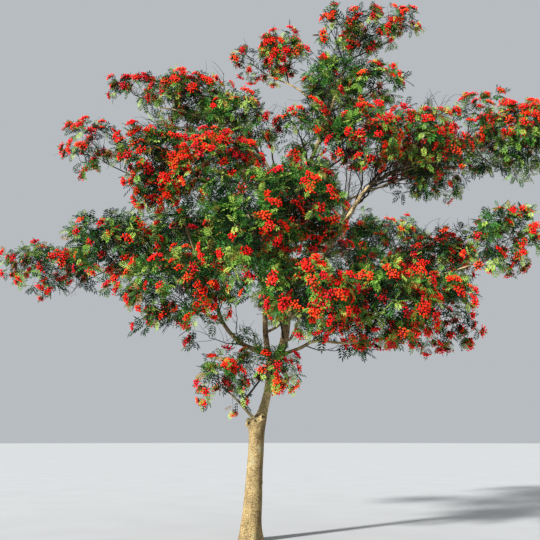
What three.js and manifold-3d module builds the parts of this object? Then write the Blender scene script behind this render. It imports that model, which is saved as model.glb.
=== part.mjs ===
// Rowan tree in fruit, rooted in level ground. Millimetres, +Z up, +X to the viewer's right, +Y away.
// The origin is the centre of the flat cut at ground level. The trunk forks at 2.7 m into two leaders, which
// carry boughs, and each bough or leader carries masses of foliage: twigs with sprays of leaves and heads
// of fruit.
import * as THREE from "three";
import { mergeVertices } from "three/addons/utils/BufferGeometryUtils.js";
import Module from "manifold-3d";

const wasm = await Module();
wasm.setup();
const { Manifold, Mesh } = wasm;

// Clearances
const GAP = 0.35; // between a limb and what grows from it
const CLEARANCE = 18; // between a twig or blade and anything of another node that it passes
const SPACE_MARGIN = 0.04; // share of a mass's own space kept free along its border with a neighbour

// Trunk: height, sideways lean and radius at stations from the ground to the fork
const TRUNK_STATIONS = [
  [0, 0, 212],
  [60, 2, 198],
  [180, 8, 178],
  [440, 30, 155],
  [930, 60, 134],
  [1410, 88, 126],
  [1720, 100, 130],
  [1860, 115, 136],
  [2030, 195, 95],
  [2350, 280, 82],
  [2610, 325, 96],
  [2780, 345, 118],
];
const TRUNK_SIDES = 16;
const RINGS_PER_STATION = 1;
const FLARE = { lobes: 5, depth: 0.09, height: 170 }; // root swellings round the foot
// Swelling under the lowest bough
const KNOB = { heading: Math.PI, height: 1860, out: 46, tall: 105, wide: 0.75 };

// Limbs: each leaves its parent at a share of the parent's length and bends through its way points.
// Its radii are those at its foot and its tip.
const LIMBS = [
  {
    name: "leader_east",
    on: "trunk",
    at: 0.97,
    radii: [80, 17],
    way: [
      [530, -50, 3110],
      [600, -100, 3660],
      [570, -150, 4450],
      [640, -150, 5340],
      [830, -100, 5840],
      [1110, 0, 6550],
      [1350, 50, 7180],
      [1540, 100, 7770],
      [1820, 200, 8570],
    ],
  },
  {
    name: "leader_west",
    on: "trunk",
    at: 0.97,
    radii: [60, 20],
    way: [[250, 100, 3210], [210, 200, 3910], [100, 400, 4750], [-160, 1100, 6070]],
  },
  {
    name: "limb_west",
    on: "leader_west",
    at: 0.12,
    radii: [42, 23],
    way: [[-170, -100, 3140], [-460, -200, 3460], [-630, -250, 3930], [-900, -200, 4520]],
  },
  {
    name: "bough_west_mid",
    on: "limb_west",
    at: 1,
    radii: [22, 14],
    way: [[-1060, -500, 4970], [-1240, -900, 5430]],
  },
  {
    name: "bough_west_far",
    on: "limb_west",
    at: 0.97,
    radii: [21, 11],
    way: [[-1240, -200, 4640], [-1690, -300, 4470], [-2320, -200, 4350], [-2940, 200, 4470]],
  },
  {
    name: "bough_west_low",
    on: "limb_west",
    at: 0.5,
    radii: [22, 13],
    way: [[-760, -600, 3580], [-960, -1000, 3580]],
  },
  {
    name: "bough_west_high",
    on: "leader_east",
    at: 0.42,
    radii: [31, 12],
    way: [
      [400, -300, 5860],
      [180, -350, 6280],
      [-200, -300, 6790],
      [-760, -150, 7070],
      [-1290, 0, 7290],
      [-1710, 150, 7430],
    ],
  },
  {
    name: "bough_high_west",
    on: "leader_east",
    at: 0.77,
    radii: [25, 12],
    way: [[1020, 150, 7600], [720, 300, 7910], [280, 500, 8200]],
  },
  {
    name: "bough_east_arch",
    on: "leader_east",
    at: 0.27,
    radii: [56, 20],
    way: [
      [1120, -300, 4470],
      [1570, -400, 5130],
      [1920, -500, 5660],
      [2350, -600, 5920],
      [2810, -700, 6110],
    ],
  },
  {
    name: "bough_east_far",
    on: "bough_east_arch",
    at: 0.82,
    radii: [22, 12],
    way: [[3090, -300, 6210], [3690, 0, 6520], [4180, 150, 6650]],
  },
  {
    name: "bough_east_low",
    on: "leader_east",
    at: 0.06,
    radii: [34, 15],
    way: [[800, -400, 3020], [1040, -800, 3090], [1450, -1200, 3010], [2140, -1400, 3060]],
  },
  {
    name: "bough_east_mid",
    on: "leader_east",
    at: 0.2,
    radii: [36, 13],
    way: [[1360, 400, 4090], [2300, 800, 4380], [3220, 700, 4430], [3960, 100, 4560]],
  },
  {
    name: "bough_front",
    on: "leader_west",
    at: 0.42,
    radii: [34, 16],
    way: [[190, -900, 3880], [260, -1900, 4170], [160, -2500, 4180]],
  },
  {
    name: "bough_front_low",
    on: "leader_east",
    at: 0.13,
    radii: [30, 15],
    way: [[650, -600, 3160], [740, -1300, 3320], [780, -2200, 3360]],
  },
  {
    name: "bough_low_west",
    on: "trunk",
    at: 0.625,
    radii: [29, 16],
    way: [[-90, -120, 2060], [-200, -300, 2180], [-320, -550, 2290]],
  },
  {
    name: "bough_back_west",
    on: "leader_west",
    at: 0.6,
    radii: [30, 15],
    way: [[-190, 1300, 5050], [-600, 2500, 5380]],
  },
  {
    name: "bough_back_east",
    on: "leader_east",
    at: 0.3,
    radii: [34, 16],
    way: [[1160, 1200, 4880], [2080, 2800, 5410]],
  },
  {
    name: "bough_back_east_high",
    on: "leader_east",
    at: 0.4,
    radii: [28, 14],
    way: [[1420, 800, 5730], [2470, 1600, 6390], [3260, 2100, 6790]],
  },
  {
    name: "bough_back_mid",
    on: "leader_east",
    at: 0.36,
    radii: [28, 15],
    way: [[720, 1000, 5460], [860, 2200, 6160]],
  },
  {
    name: "bough_back_low",
    on: "leader_west",
    at: 0.3,
    radii: [28, 15],
    way: [[490, 900, 3580], [760, 1800, 3990]],
  },
];
const LIMB_SIDES = 5;
const STEP_LENGTH = 460; // between two rings of a limb
const TAPER = 1.15; // how fast a limb thins near its foot
const COLLAR = { swell: 0.25, reach: 1.6 }; // where a limb leaves its parent, in its own radii

// Masses of foliage: the limb and share where the stem starts, the centre of the mass's space and its
// half sizes
const MASSES = [
  ["crest_top", "leader_east", 1, [2180, 150, 8990], [540, 560, 460]],
  ["crest_west", "leader_east", 0.95, [1440, -250, 8740], [310, 370, 380]],
  ["crest_east", "leader_east", 0.97, [2760, 300, 8980], [340, 400, 410]],
  ["crest_foot", "leader_east", 0.9, [1700, 350, 8380], [500, 520, 410]],
  ["high_east", "leader_east", 0.8, [2120, -450, 7510], [520, 640, 440]],
  ["high_mid", "leader_east", 0.79, [1130, -750, 7430], [450, 540, 400]],
  ["high_west", "bough_high_west", 0.72, [575, 350, 8520], [500, 520, 440]],
  ["high_west_tip", "bough_high_west", 1, [-110, 650, 8670], [380, 440, 500]],
  ["leader_mid", "leader_east", 0.62, [800, -850, 6620], [560, 620, 450]],
  ["east_high_inner", "leader_east", 0.56, [1870, -1050, 6350], [620, 680, 480]],
  ["east_high", "bough_east_arch", 1, [2770, -750, 6580], [730, 900, 580]],
  ["east_tuft", "bough_east_far", 0.7, [4050, 550, 7560], [330, 420, 410]],
  ["east_far", "bough_east_far", 1, [4800, 250, 6870], [740, 880, 650]],
  ["west_high_tip", "bough_west_high", 1, [-2220, 300, 7820], [510, 520, 330]],
  ["west_high", "bough_west_high", 0.86, [-1080, 50, 7550], [700, 800, 450]],
  ["west_high_inner", "bough_west_high", 0.6, [-140, -650, 6860], [600, 680, 490]],
  ["west_tips", "bough_west_mid", 1, [-2600, -850, 6200], [510, 620, 500]],
  ["west_mid", "bough_west_mid", 0.9, [-1510, -1300, 5780], [620, 860, 740]],
  ["west_mid_inner", "bough_west_high", 0.32, [-500, -1500, 5640], [640, 820, 620]],
  ["west_low_high", "bough_west_far", 0.2, [-1400, 1250, 5230], [780, 900, 640]],
  ["west_low_far", "bough_west_far", 0.6, [-2270, -550, 4730], [720, 900, 560]],
  ["west_end", "bough_west_far", 1, [-3720, 600, 4610], [740, 840, 520]],
  ["west_low", "bough_west_low", 1, [-1070, -1600, 3760], [860, 820, 520]],
  ["front_high", "bough_front", 0.62, [730, -2450, 4760], [640, 860, 580]],
  ["front_west", "bough_front", 1, [20, -2900, 4180], [600, 860, 540]],
  ["front_low", "bough_front_low", 1, [800, -2850, 3420], [620, 860, 430]],
  ["low_west", "bough_low_west", 1, [-420, -1000, 2430], [390, 580, 420]],
  ["low_mid", "bough_low_west", 0.5, [240, -900, 2640], [580, 650, 390]],
  ["east_low", "bough_east_low", 0.85, [1950, -1950, 3530], [700, 940, 560]],
  ["east_low_far", "bough_east_low", 1, [2990, -950, 3540], [580, 840, 570]],
  ["east_mid", "bough_east_mid", 0.7, [3350, 1150, 4790], [860, 900, 520]],
  ["east_mid_far", "bough_east_mid", 1, [4320, -350, 4840], [550, 820, 600]],
  ["back_high", "leader_east", 0.68, [1820, 1700, 7980], [720, 800, 560]],
  ["back_west_high", "leader_west", 1, [-620, 2300, 7380], [800, 860, 640]],
  ["back_east_high", "bough_back_east_high", 1, [3950, 2450, 7140], [830, 900, 640]],
  ["back_mid", "bough_back_mid", 1, [960, 3050, 6780], [900, 920, 700]],
  ["back_west", "bough_back_west", 1, [-1070, 3150, 5410], [940, 920, 680]],
  ["back_east", "bough_back_east", 1, [2830, 3500, 5600], [940, 920, 680]],
  ["back_low", "bough_back_low", 1, [920, 2600, 4340], [880, 860, 600]],
].map(([name, on, at, centre, half]) => ({
  name,
  on,
  at,
  centre: new THREE.Vector3(...centre),
  half: new THREE.Vector3(...half),
}));

// The rule that fills a mass: twigs round a stem, a blade or a head of fruit on each tip, and blades beside
// it. Each blade stands for a spray of leaves, and each head for several bunches of berries.
const GOLDEN_TURN = Math.PI * (3 - Math.sqrt(5));
const STEM = { least: 12, per_metre: 15, thins: 0.3, depth: 0.86, sag: 0.14 };
const TWIG = {
  least: 1.2,
  per_square_metre: 1.08,
  lowest: -0.6,
  reach: [0.6, 0.75],
  foot: 0.6,
  tip: 5,
  wander: 0.5,
};
const BLADE = {
  reach: [0.94, 1],
  lean: 0.5,
  width: 0.68,
  thickness: 0.036,
  ridge: 0.024,
  widest: 0.47,
  shortest: 200,
  droop: 0.08,
};
const BLADE_ROLL = 1.2; // how far a blade may turn about its length from lying level
const SIDE_BLADES = { count: 4, places: [0.1, 0.98], spread: [2, 3] };
const FRUIT = { share: 0.3, radius: 112, flatness: 0.6 };

const UP = new THREE.Vector3(0, 0, 1);

// Repeatable random numbers from 0 to 1.
function seeded(seed) {
  let state = seed >>> 0;
  return () => {
    state = (Math.imul(state, 1664525) + 1013904223) >>> 0;
    return state / 4294967296;
  };
}

// Even steps from 0 to 1.
function shares(count) {
  return Array.from({ length: count + 1 }, (_, i) => i / count);
}

function between([low, high], share) {
  return low + (high - low) * share;
}

// A closed mesh's geometry as a solid that can be joined and cut.
function solidOf(geometry) {
  geometry.deleteAttribute("normal");
  geometry.deleteAttribute("uv");
  const merged = mergeVertices(geometry, 1e-3);
  return new Manifold(
    new Mesh({
      numProp: 3,
      vertProperties: merged.attributes.position.array,
      triVerts: new Uint32Array(merged.index.array),
    }),
  );
}

// The largest piece of a solid, without loose scraps and with sealed hollows filled.
function wholePiece(solid) {
  return solid.decompose().reduce((best, piece) => (piece.volume() > best.volume() ? piece : best));
}

function geometryOf(solid, origin) {
  const { vertProperties, triVerts } = solid.getMesh();
  const geometry = new THREE.BufferGeometry();
  geometry.setAttribute("position", new THREE.BufferAttribute(new Float32Array(vertProperties), 3));
  geometry.setIndex(new THREE.BufferAttribute(new Uint32Array(triVerts), 1));
  geometry.translate(-origin.x, -origin.y, -origin.z);
  geometry.computeVertexNormals();
  return geometry;
}

// A closed round bar bent along a curve, with its radius from a function of the share of the way along.
// grow makes it that much fatter and longer, to cut a clearance in what touches it.
function bentBar(curve, radiusAt, sides, steps, grow = 0) {
  const bar = new THREE.CylinderGeometry(1, 1, 1, sides, steps);
  const { tangents, normals, binormals } = curve.computeFrenetFrames(steps, false);
  const positions = bar.attributes.position;
  const fatter = grow / Math.cos(Math.PI / sides);
  const point = new THREE.Vector3();
  for (let i = 0; i < positions.count; i++) {
    const across = positions.getX(i);
    const deep = positions.getZ(i);
    const ring = Math.round((positions.getY(i) + 0.5) * steps);
    const share = ring / steps;
    const radius = radiusAt(share) + fatter;
    curve.getPoint(share, point);
    point.addScaledVector(normals[ring], across * radius);
    point.addScaledVector(binormals[ring], -deep * radius);
    if (ring === 0) point.addScaledVector(tangents[0], -grow);
    if (ring === steps) point.addScaledVector(tangents[steps], grow);
    positions.setXYZ(i, point.x, point.y, point.z);
  }
  return solidOf(bar);
}

// Trunk: rings stay level, so the foot is one flat cut. The curve's x is the lean, y the radius and z the
// height.
const trunkProfile = new THREE.CatmullRomCurve3(
  TRUNK_STATIONS.map(([height, lean, radius]) => new THREE.Vector3(lean, radius, height)),
  false,
  "catmullrom",
  0.5,
);

function trunkRadius(radius, height, heading) {
  const flare = FLARE.depth * Math.exp(-((height / FLARE.height) ** 2));
  const turn = Math.atan2(Math.sin(heading - KNOB.heading), Math.cos(heading - KNOB.heading));
  const knob = Math.exp(-((turn / KNOB.wide) ** 2) - ((height - KNOB.height) / KNOB.tall) ** 2);
  return radius * (1 + flare * Math.cos(FLARE.lobes * heading)) + KNOB.out * knob;
}

function trunkSolid(grow) {
  const fatter = grow / Math.cos(Math.PI / TRUNK_SIDES);
  const rings = (TRUNK_STATIONS.length - 1) * RINGS_PER_STATION;
  const bar = new THREE.CylinderGeometry(1, 1, 1, TRUNK_SIDES, rings);
  const positions = bar.attributes.position;
  const station = new THREE.Vector3();
  for (let i = 0; i < positions.count; i++) {
    const across = positions.getX(i);
    const deep = positions.getZ(i);
    const share = Math.round((positions.getY(i) + 0.5) * rings) / rings;
    trunkProfile.getPoint(share, station);
    const heading = Math.atan2(-deep, across);
    const rim = Math.hypot(across, deep);
    const radius = rim * (trunkRadius(station.y, station.z, heading) + fatter);
    const height = Math.max(0, station.z) + (share === 1 ? grow : 0);
    positions.setXYZ(i, station.x + radius * Math.cos(heading), radius * Math.sin(heading), height);
  }
  return solidOf(bar);
}

// Each limb's axis, its radius along it, its solid, and a fatter copy that cuts a gap in what touches it.
const limbs = new Map();

function growTrunk() {
  const axis = (share) => {
    const station = trunkProfile.getPoint(share);
    return new THREE.Vector3(station.x, 0, station.z);
  };
  const radiusAt = (share) => trunkProfile.getPoint(share).y;
  limbs.set("trunk", { axis, radiusAt, solid: trunkSolid(0), cutter: trunkSolid(GAP) });
}

function boxesMeet(one, other, margin = 0) {
  const a = one.boundingBox();
  const b = other.boundingBox();
  return [0, 1, 2].every((i) => a.min[i] <= b.max[i] + margin && b.min[i] <= a.max[i] + margin);
}

function cutClearOfLimbs(solid) {
  for (const { cutter } of limbs.values()) if (boxesMeet(solid, cutter)) solid = solid.subtract(cutter);
  return wholePiece(solid);
}

function growLimb({ name, on, at, radii, way }) {
  const points = [limbs.get(on).axis(at), ...way.map((point) => new THREE.Vector3(...point))];
  const curve = new THREE.CatmullRomCurve3(points, false, "catmullrom", 0.5);
  const length = curve.getLength();
  const [foot, tip] = radii;
  const radiusAt = (share) => {
    const collar = COLLAR.swell * foot * Math.exp(-(share * length) / (COLLAR.reach * foot));
    return tip + (foot - tip) * (1 - share) ** TAPER + collar;
  };
  const steps = Math.max(4, Math.round(length / STEP_LENGTH));
  const solid = cutClearOfLimbs(bentBar(curve, radiusAt, LIMB_SIDES, steps));
  const cutter = bentBar(curve, radiusAt, LIMB_SIDES, steps, GAP);
  limbs.set(name, { axis: (share) => pointOnRings(curve, steps, share), radiusAt, solid, cutter });
}

// The point at a share of a bent bar's axis, which runs straight from each ring to the next.
function pointOnRings(curve, steps, share) {
  const ring = Math.min(Math.floor(share * steps), steps - 1);
  return curve.getPoint(ring / steps).lerp(curve.getPoint((ring + 1) / steps), share * steps - ring);
}

// How far out in a mass's space a point lies: 0 at its centre and 1 on its border.
function depthIn({ centre, half }, point) {
  return point.clone().sub(centre).divide(half).lengthSq();
}

function inOwnSpace(mass, point) {
  const own = depthIn(mass, point);
  return own <= 1 && MASSES.every((other) => other === mass || own + SPACE_MARGIN <= depthIn(other, point));
}

// The point at a heading from a mass's centre, at a share of the way to its border.
function pointTowards({ centre, half }, heading, reach) {
  return new THREE.Vector3().copy(heading).multiply(half).multiplyScalar(reach).add(centre);
}

// The skeleton of a mass: its stem, its twigs, and where each blade and head of fruit goes.
function plan(mass, index) {
  const random = seeded(7919 * (index + 1));
  const limb = limbs.get(mass.on);
  const { centre, half } = mass;
  const start = limb.axis(mass.at);
  const hub = start.clone().lerp(centre, STEM.depth).addScaledVector(UP, -STEM.sag * half.z);
  const stem = new THREE.LineCurve3(start, hub);
  const size = (half.x + half.y + half.z) / 3000;
  const thick = Math.min(STEM.least + STEM.per_metre * size, 0.9 * limb.radiusAt(mass.at));
  const stemRadius = (share) => thick * (1 - STEM.thins * share);
  const entry = shares(24).find((share) => depthIn(mass, stem.getPoint(share)) < 0.8);
  const along = hub.clone().sub(start).normalize();
  const area = (half.x * half.y + half.y * half.z + half.z * half.x) / 1e6;
  const count = Math.round(TWIG.least + TWIG.per_square_metre * area);
  const turned = random() * 2 * Math.PI;
  const twigs = [];
  for (let k = 0; k < count; k++) {
    const rise = 1 - ((k + 0.5) / count) * (1 - TWIG.lowest);
    const heading = new THREE.Vector3(Math.sqrt(1 - rise * rise), 0, rise);
    heading.applyAxisAngle(UP, turned + k * GOLDEN_TURN + TWIG.wander * random());
    const share = between([entry, 1], 0.5 + 0.5 * heading.dot(along));
    const foot = stem.getPoint(share);
    const tip = pointTowards(mass, heading, between(TWIG.reach, random()));
    const across = new THREE.Vector3().crossVectors(heading, UP).normalize();
    const upward = new THREE.Vector3().crossVectors(across, heading);
    const bladeEnd = (spread, around) => {
      const leaning = heading.clone();
      leaning.addScaledVector(across, spread * Math.cos(around));
      leaning.addScaledVector(upward, spread * Math.sin(around));
      const end = pointTowards(mass, leaning.normalize(), between(BLADE.reach, random()));
      end.addScaledVector(UP, -BLADE.droop * half.z * random());
      return { end, roll: BLADE_ROLL * (2 * random() - 1) };
    };
    const crown = bladeEnd(BLADE.lean, 2 * Math.PI * random());
    const sides = [];
    for (let j = 0; j < SIDE_BLADES.count; j++) {
      const around = (2 * Math.PI * (j + 0.6 * random())) / SIDE_BLADES.count;
      const at = between(SIDE_BLADES.places, (j + random()) / SIDE_BLADES.count);
      sides.push({ at, ...bladeEnd(between(SIDE_BLADES.spread, random()), around) });
    }
    const fruits = random() < FRUIT.share;
    twigs.push({ foot, tip, crown, sides, fruits, radius: TWIG.foot * stemRadius(share) });
  }
  return { mass, stem, stemRadius, twigs };
}

// A blade's length, its widest place, and the directions that it is broad and thick in.
function bladeFrame(root, { end, roll }) {
  const long = end.clone().sub(root);
  const length = long.length();
  const side = new THREE.Vector3().crossVectors(long, UP).normalize();
  side.applyAxisAngle(long.clone().normalize(), roll);
  const face = new THREE.Vector3().crossVectors(side, long).normalize();
  const middle = root.clone().addScaledVector(long, BLADE.widest);
  return { side, face, middle, length };
}

// A blade on its own: a flat kite with a raised middle.
function blade(root, leaf) {
  const { side, face, middle, length } = bladeFrame(root, leaf);
  const kite = new THREE.OctahedronGeometry(1);
  const positions = kite.attributes.position;
  for (let i = 0; i < positions.count; i++) {
    const lengthwise = Math.round(positions.getY(i));
    const point = [root, middle, leaf.end][lengthwise + 1].clone();
    point.addScaledVector(side, positions.getX(i) * 0.5 * BLADE.width * length);
    point.addScaledVector(face, positions.getZ(i) * 0.5 * BLADE.thickness * length);
    positions.setXYZ(i, point.x, point.y, point.z);
  }
  return solidOf(kite);
}

// A three-sided twig that runs out into a blade with a ridge on top: its rings are its foot, neck, rim and
// point.
function bladedTwig({ foot, tip, crown, radius }) {
  const { side, face, middle, length } = bladeFrame(tip, crown);
  const cone = new THREE.ConeGeometry(1, 1, 3, 3);
  const positions = cone.attributes.position;
  const broadest = (0.5 * BLADE.width * length) / Math.sin(Math.PI / 3);
  const rings = [
    { at: foot, broad: radius, thick: radius },
    { at: tip, broad: TWIG.tip, thick: TWIG.tip },
    { at: middle, broad: broadest, thick: BLADE.ridge * length },
    { at: crown.end, broad: 0, thick: 0 },
  ];
  for (let i = 0; i < positions.count; i++) {
    const { at, broad, thick } = rings[Math.round((positions.getY(i) + 0.5) * 3)];
    const out = Math.hypot(positions.getX(i), positions.getZ(i)) || 1;
    const inner = out < 0.3 ? 0 : 1;
    const point = at.clone().addScaledVector(side, ((inner * positions.getX(i)) / out) * broad);
    point.addScaledVector(face, ((inner * positions.getZ(i)) / out) * thick);
    positions.setXYZ(i, point.x, point.y, point.z);
  }
  return solidOf(cone);
}

function fruitHead(at) {
  const head = new THREE.IcosahedronGeometry(FRUIT.radius, 0);
  head.scale(1, 1, FRUIT.flatness);
  head.translate(at.x, at.y, at.z);
  return solidOf(head);
}

// What is in place so far, each with the mass that it belongs to. Limbs belong to none.
const placed = [];

function isClear(mass, piece) {
  return placed.every(
    ({ owner, solid }) =>
      owner === mass || !boxesMeet(piece, solid, CLEARANCE) || piece.minGap(solid, CLEARANCE) >= CLEARANCE,
  );
}

function bladeFits(mass, root, leaf) {
  return root.distanceTo(leaf.end) > BLADE.shortest && inOwnSpace(mass, leaf.end);
}

// One twig with what it carries. What would leave the mass's space or touch something else is skipped.
function growTwig(mass, twig) {
  const { foot, tip, crown, radius, fruits, sides } = twig;
  const line = new THREE.LineCurve3(foot, tip);
  const bare = bentBar(line, (share) => radius + (TWIG.tip - radius) * share, 3, 1);
  const options = [bare];
  if (bladeFits(mass, tip, crown)) options.unshift(bladedTwig(twig));
  if (fruits) options.unshift(bare.add(fruitHead(tip)));
  const grown = inOwnSpace(mass, tip) && options.find((option) => isClear(mass, option));
  if (!grown) return [];
  const blades = sides.filter((leaf) => bladeFits(mass, line.getPoint(leaf.at), leaf));
  const solids = blades.map((leaf) => blade(line.getPoint(leaf.at), leaf));
  return [grown, ...solids.filter((solid) => isClear(mass, solid))];
}

function growMasses() {
  for (const { solid } of limbs.values()) placed.push({ owner: null, solid });
  const plans = MASSES.map(plan);
  for (const growing of plans) {
    growing.solid = cutClearOfLimbs(bentBar(growing.stem, growing.stemRadius, 4, 1));
    placed.push({ owner: growing.mass, solid: growing.solid });
  }
  for (const { mass, twigs, solid } of plans) {
    const pieces = twigs.flatMap((twig) => growTwig(mass, twig));
    const whole = wholePiece(Manifold.union([solid, ...pieces]));
    placed.find(({ owner }) => owner === mass).solid = whole;
  }
}

function meshOf(name, solid, origin, material) {
  const mesh = new THREE.Mesh(geometryOf(solid, origin), material);
  mesh.name = name;
  mesh.position.copy(origin);
  return mesh;
}

const barkMaterial = new THREE.MeshStandardMaterial({ color: 0xa38a5c, roughness: 0.85, metalness: 0 });
const boughMaterial = new THREE.MeshStandardMaterial({ color: 0x6b5a3e, roughness: 0.85, metalness: 0 });
const foliageMaterial = new THREE.MeshStandardMaterial({ color: 0x4a5e26, roughness: 0.6, metalness: 0 });

growTrunk();
LIMBS.forEach(growLimb);
growMasses();

const wood = new THREE.Group();
for (const [name, { solid, axis }] of limbs) {
  const origin = name === "trunk" ? new THREE.Vector3() : axis(0);
  wood.add(meshOf(name, solid, origin, name === "trunk" ? barkMaterial : boughMaterial));
}

const foliage = new THREE.Group();
for (const { owner, solid } of placed) {
  if (owner) foliage.add(meshOf(`mass_${owner.name}`, solid, owner.centre, foliageMaterial));
}

const rowan = new THREE.Group();
rowan.add(wood, foliage);
export default rowan;
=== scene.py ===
import math
from collections import namedtuple
from types import SimpleNamespace as Rule

import bpy
import numpy as np
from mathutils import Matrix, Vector, noise


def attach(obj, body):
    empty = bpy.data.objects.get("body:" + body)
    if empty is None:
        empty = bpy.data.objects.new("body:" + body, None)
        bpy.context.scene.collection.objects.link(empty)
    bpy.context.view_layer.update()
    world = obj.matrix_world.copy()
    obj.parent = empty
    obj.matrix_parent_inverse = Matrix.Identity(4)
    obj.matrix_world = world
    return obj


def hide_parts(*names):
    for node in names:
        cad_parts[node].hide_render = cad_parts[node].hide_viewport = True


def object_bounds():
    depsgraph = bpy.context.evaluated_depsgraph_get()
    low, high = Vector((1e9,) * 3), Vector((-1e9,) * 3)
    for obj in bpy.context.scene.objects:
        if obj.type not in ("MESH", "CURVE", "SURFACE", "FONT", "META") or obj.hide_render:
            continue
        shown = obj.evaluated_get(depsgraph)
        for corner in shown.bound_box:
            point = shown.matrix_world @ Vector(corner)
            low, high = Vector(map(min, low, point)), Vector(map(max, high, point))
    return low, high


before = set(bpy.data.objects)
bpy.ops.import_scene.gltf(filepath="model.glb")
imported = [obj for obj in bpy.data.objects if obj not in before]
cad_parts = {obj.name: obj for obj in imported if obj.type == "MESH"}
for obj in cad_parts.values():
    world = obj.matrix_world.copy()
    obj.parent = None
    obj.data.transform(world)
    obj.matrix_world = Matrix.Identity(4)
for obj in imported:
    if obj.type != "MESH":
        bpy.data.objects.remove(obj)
cad_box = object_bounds()

Limb = namedtuple("Limb", "name on at radii way")
Mass = namedtuple("Mass", "name on at centre half fruit extra kept", defaults=((0.45, 0.85), 0, 1))

UP = np.array((0.0, 0.0, 1.0))
TURN = 2 * math.pi
GOLDEN_TURN = math.pi * (3 - math.sqrt(5))

# Trunk: height, sideways lean and radius at stations from the ground to the fork
TRUNK_STATIONS = (
    (0, 0, 0.212), (0.06, 0.002, 0.198), (0.18, 0.008, 0.178), (0.44, 0.03, 0.155), (0.93, 0.06, 0.134),
    (1.41, 0.088, 0.126), (1.72, 0.1, 0.13), (1.86, 0.115, 0.136), (2.03, 0.195, 0.083), (2.35, 0.28, 0.069),
    (2.61, 0.325, 0.084), (2.78, 0.345, 0.118),
)
TRUNK_SIDES = 80
TRUNK_RINGS = 180
CLOSED = 0.002  # radius of the last ring of a rounded end
CROTCH = Rule(height=0.07, rings=8)  # rounded top of the trunk between the two leaders
FLARE = Rule(lobes=5, depth=0.09, height=0.17)
STUB = Rule(
    foot=(0.04, -0.03, 1.79), tip=(-0.07, -0.085, 1.925), radii=(0.055, 0.03), rings=6, sides=20,
    cap=0.05, relief=(0.006, 30, 2),
)
HOLLOWS = (  # heading, height, half width, half height, depth and size of the painted shade spot
    (math.pi + 1.0, 1.965, 0.024, 0.036, 0.030, 0.075),
    (-1.07, 1.93, 0.016, 0.024, 0.012, 0.045),
    (math.pi + 0.55, 1.83, 0.012, 0.022, 0.014, 0.034),
    (math.pi + 1.3, 1.87, 0.010, 0.034, 0.012, 0.036),
    (math.pi + 0.8, 1.91, 0.014, 0.012, 0.012, 0.034),
)
KNOBS = (  # heading, height, how far out, and how tall and wide
    (math.pi, 1.85, 0.046, 0.085, 0.7),
    (-1.1, 1.90, 0.034, 0.055, 0.5),
)
SCAR = Rule(heading=-0.5, height=0.9, out=0.012, size=0.035, sharp=6, pit=0.02)
BARK_RELIEF = Rule(broad=0.0045, fine=0.0013, knobs=0.045, full_from=0.1, full_on_knobs=0.04)

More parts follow.
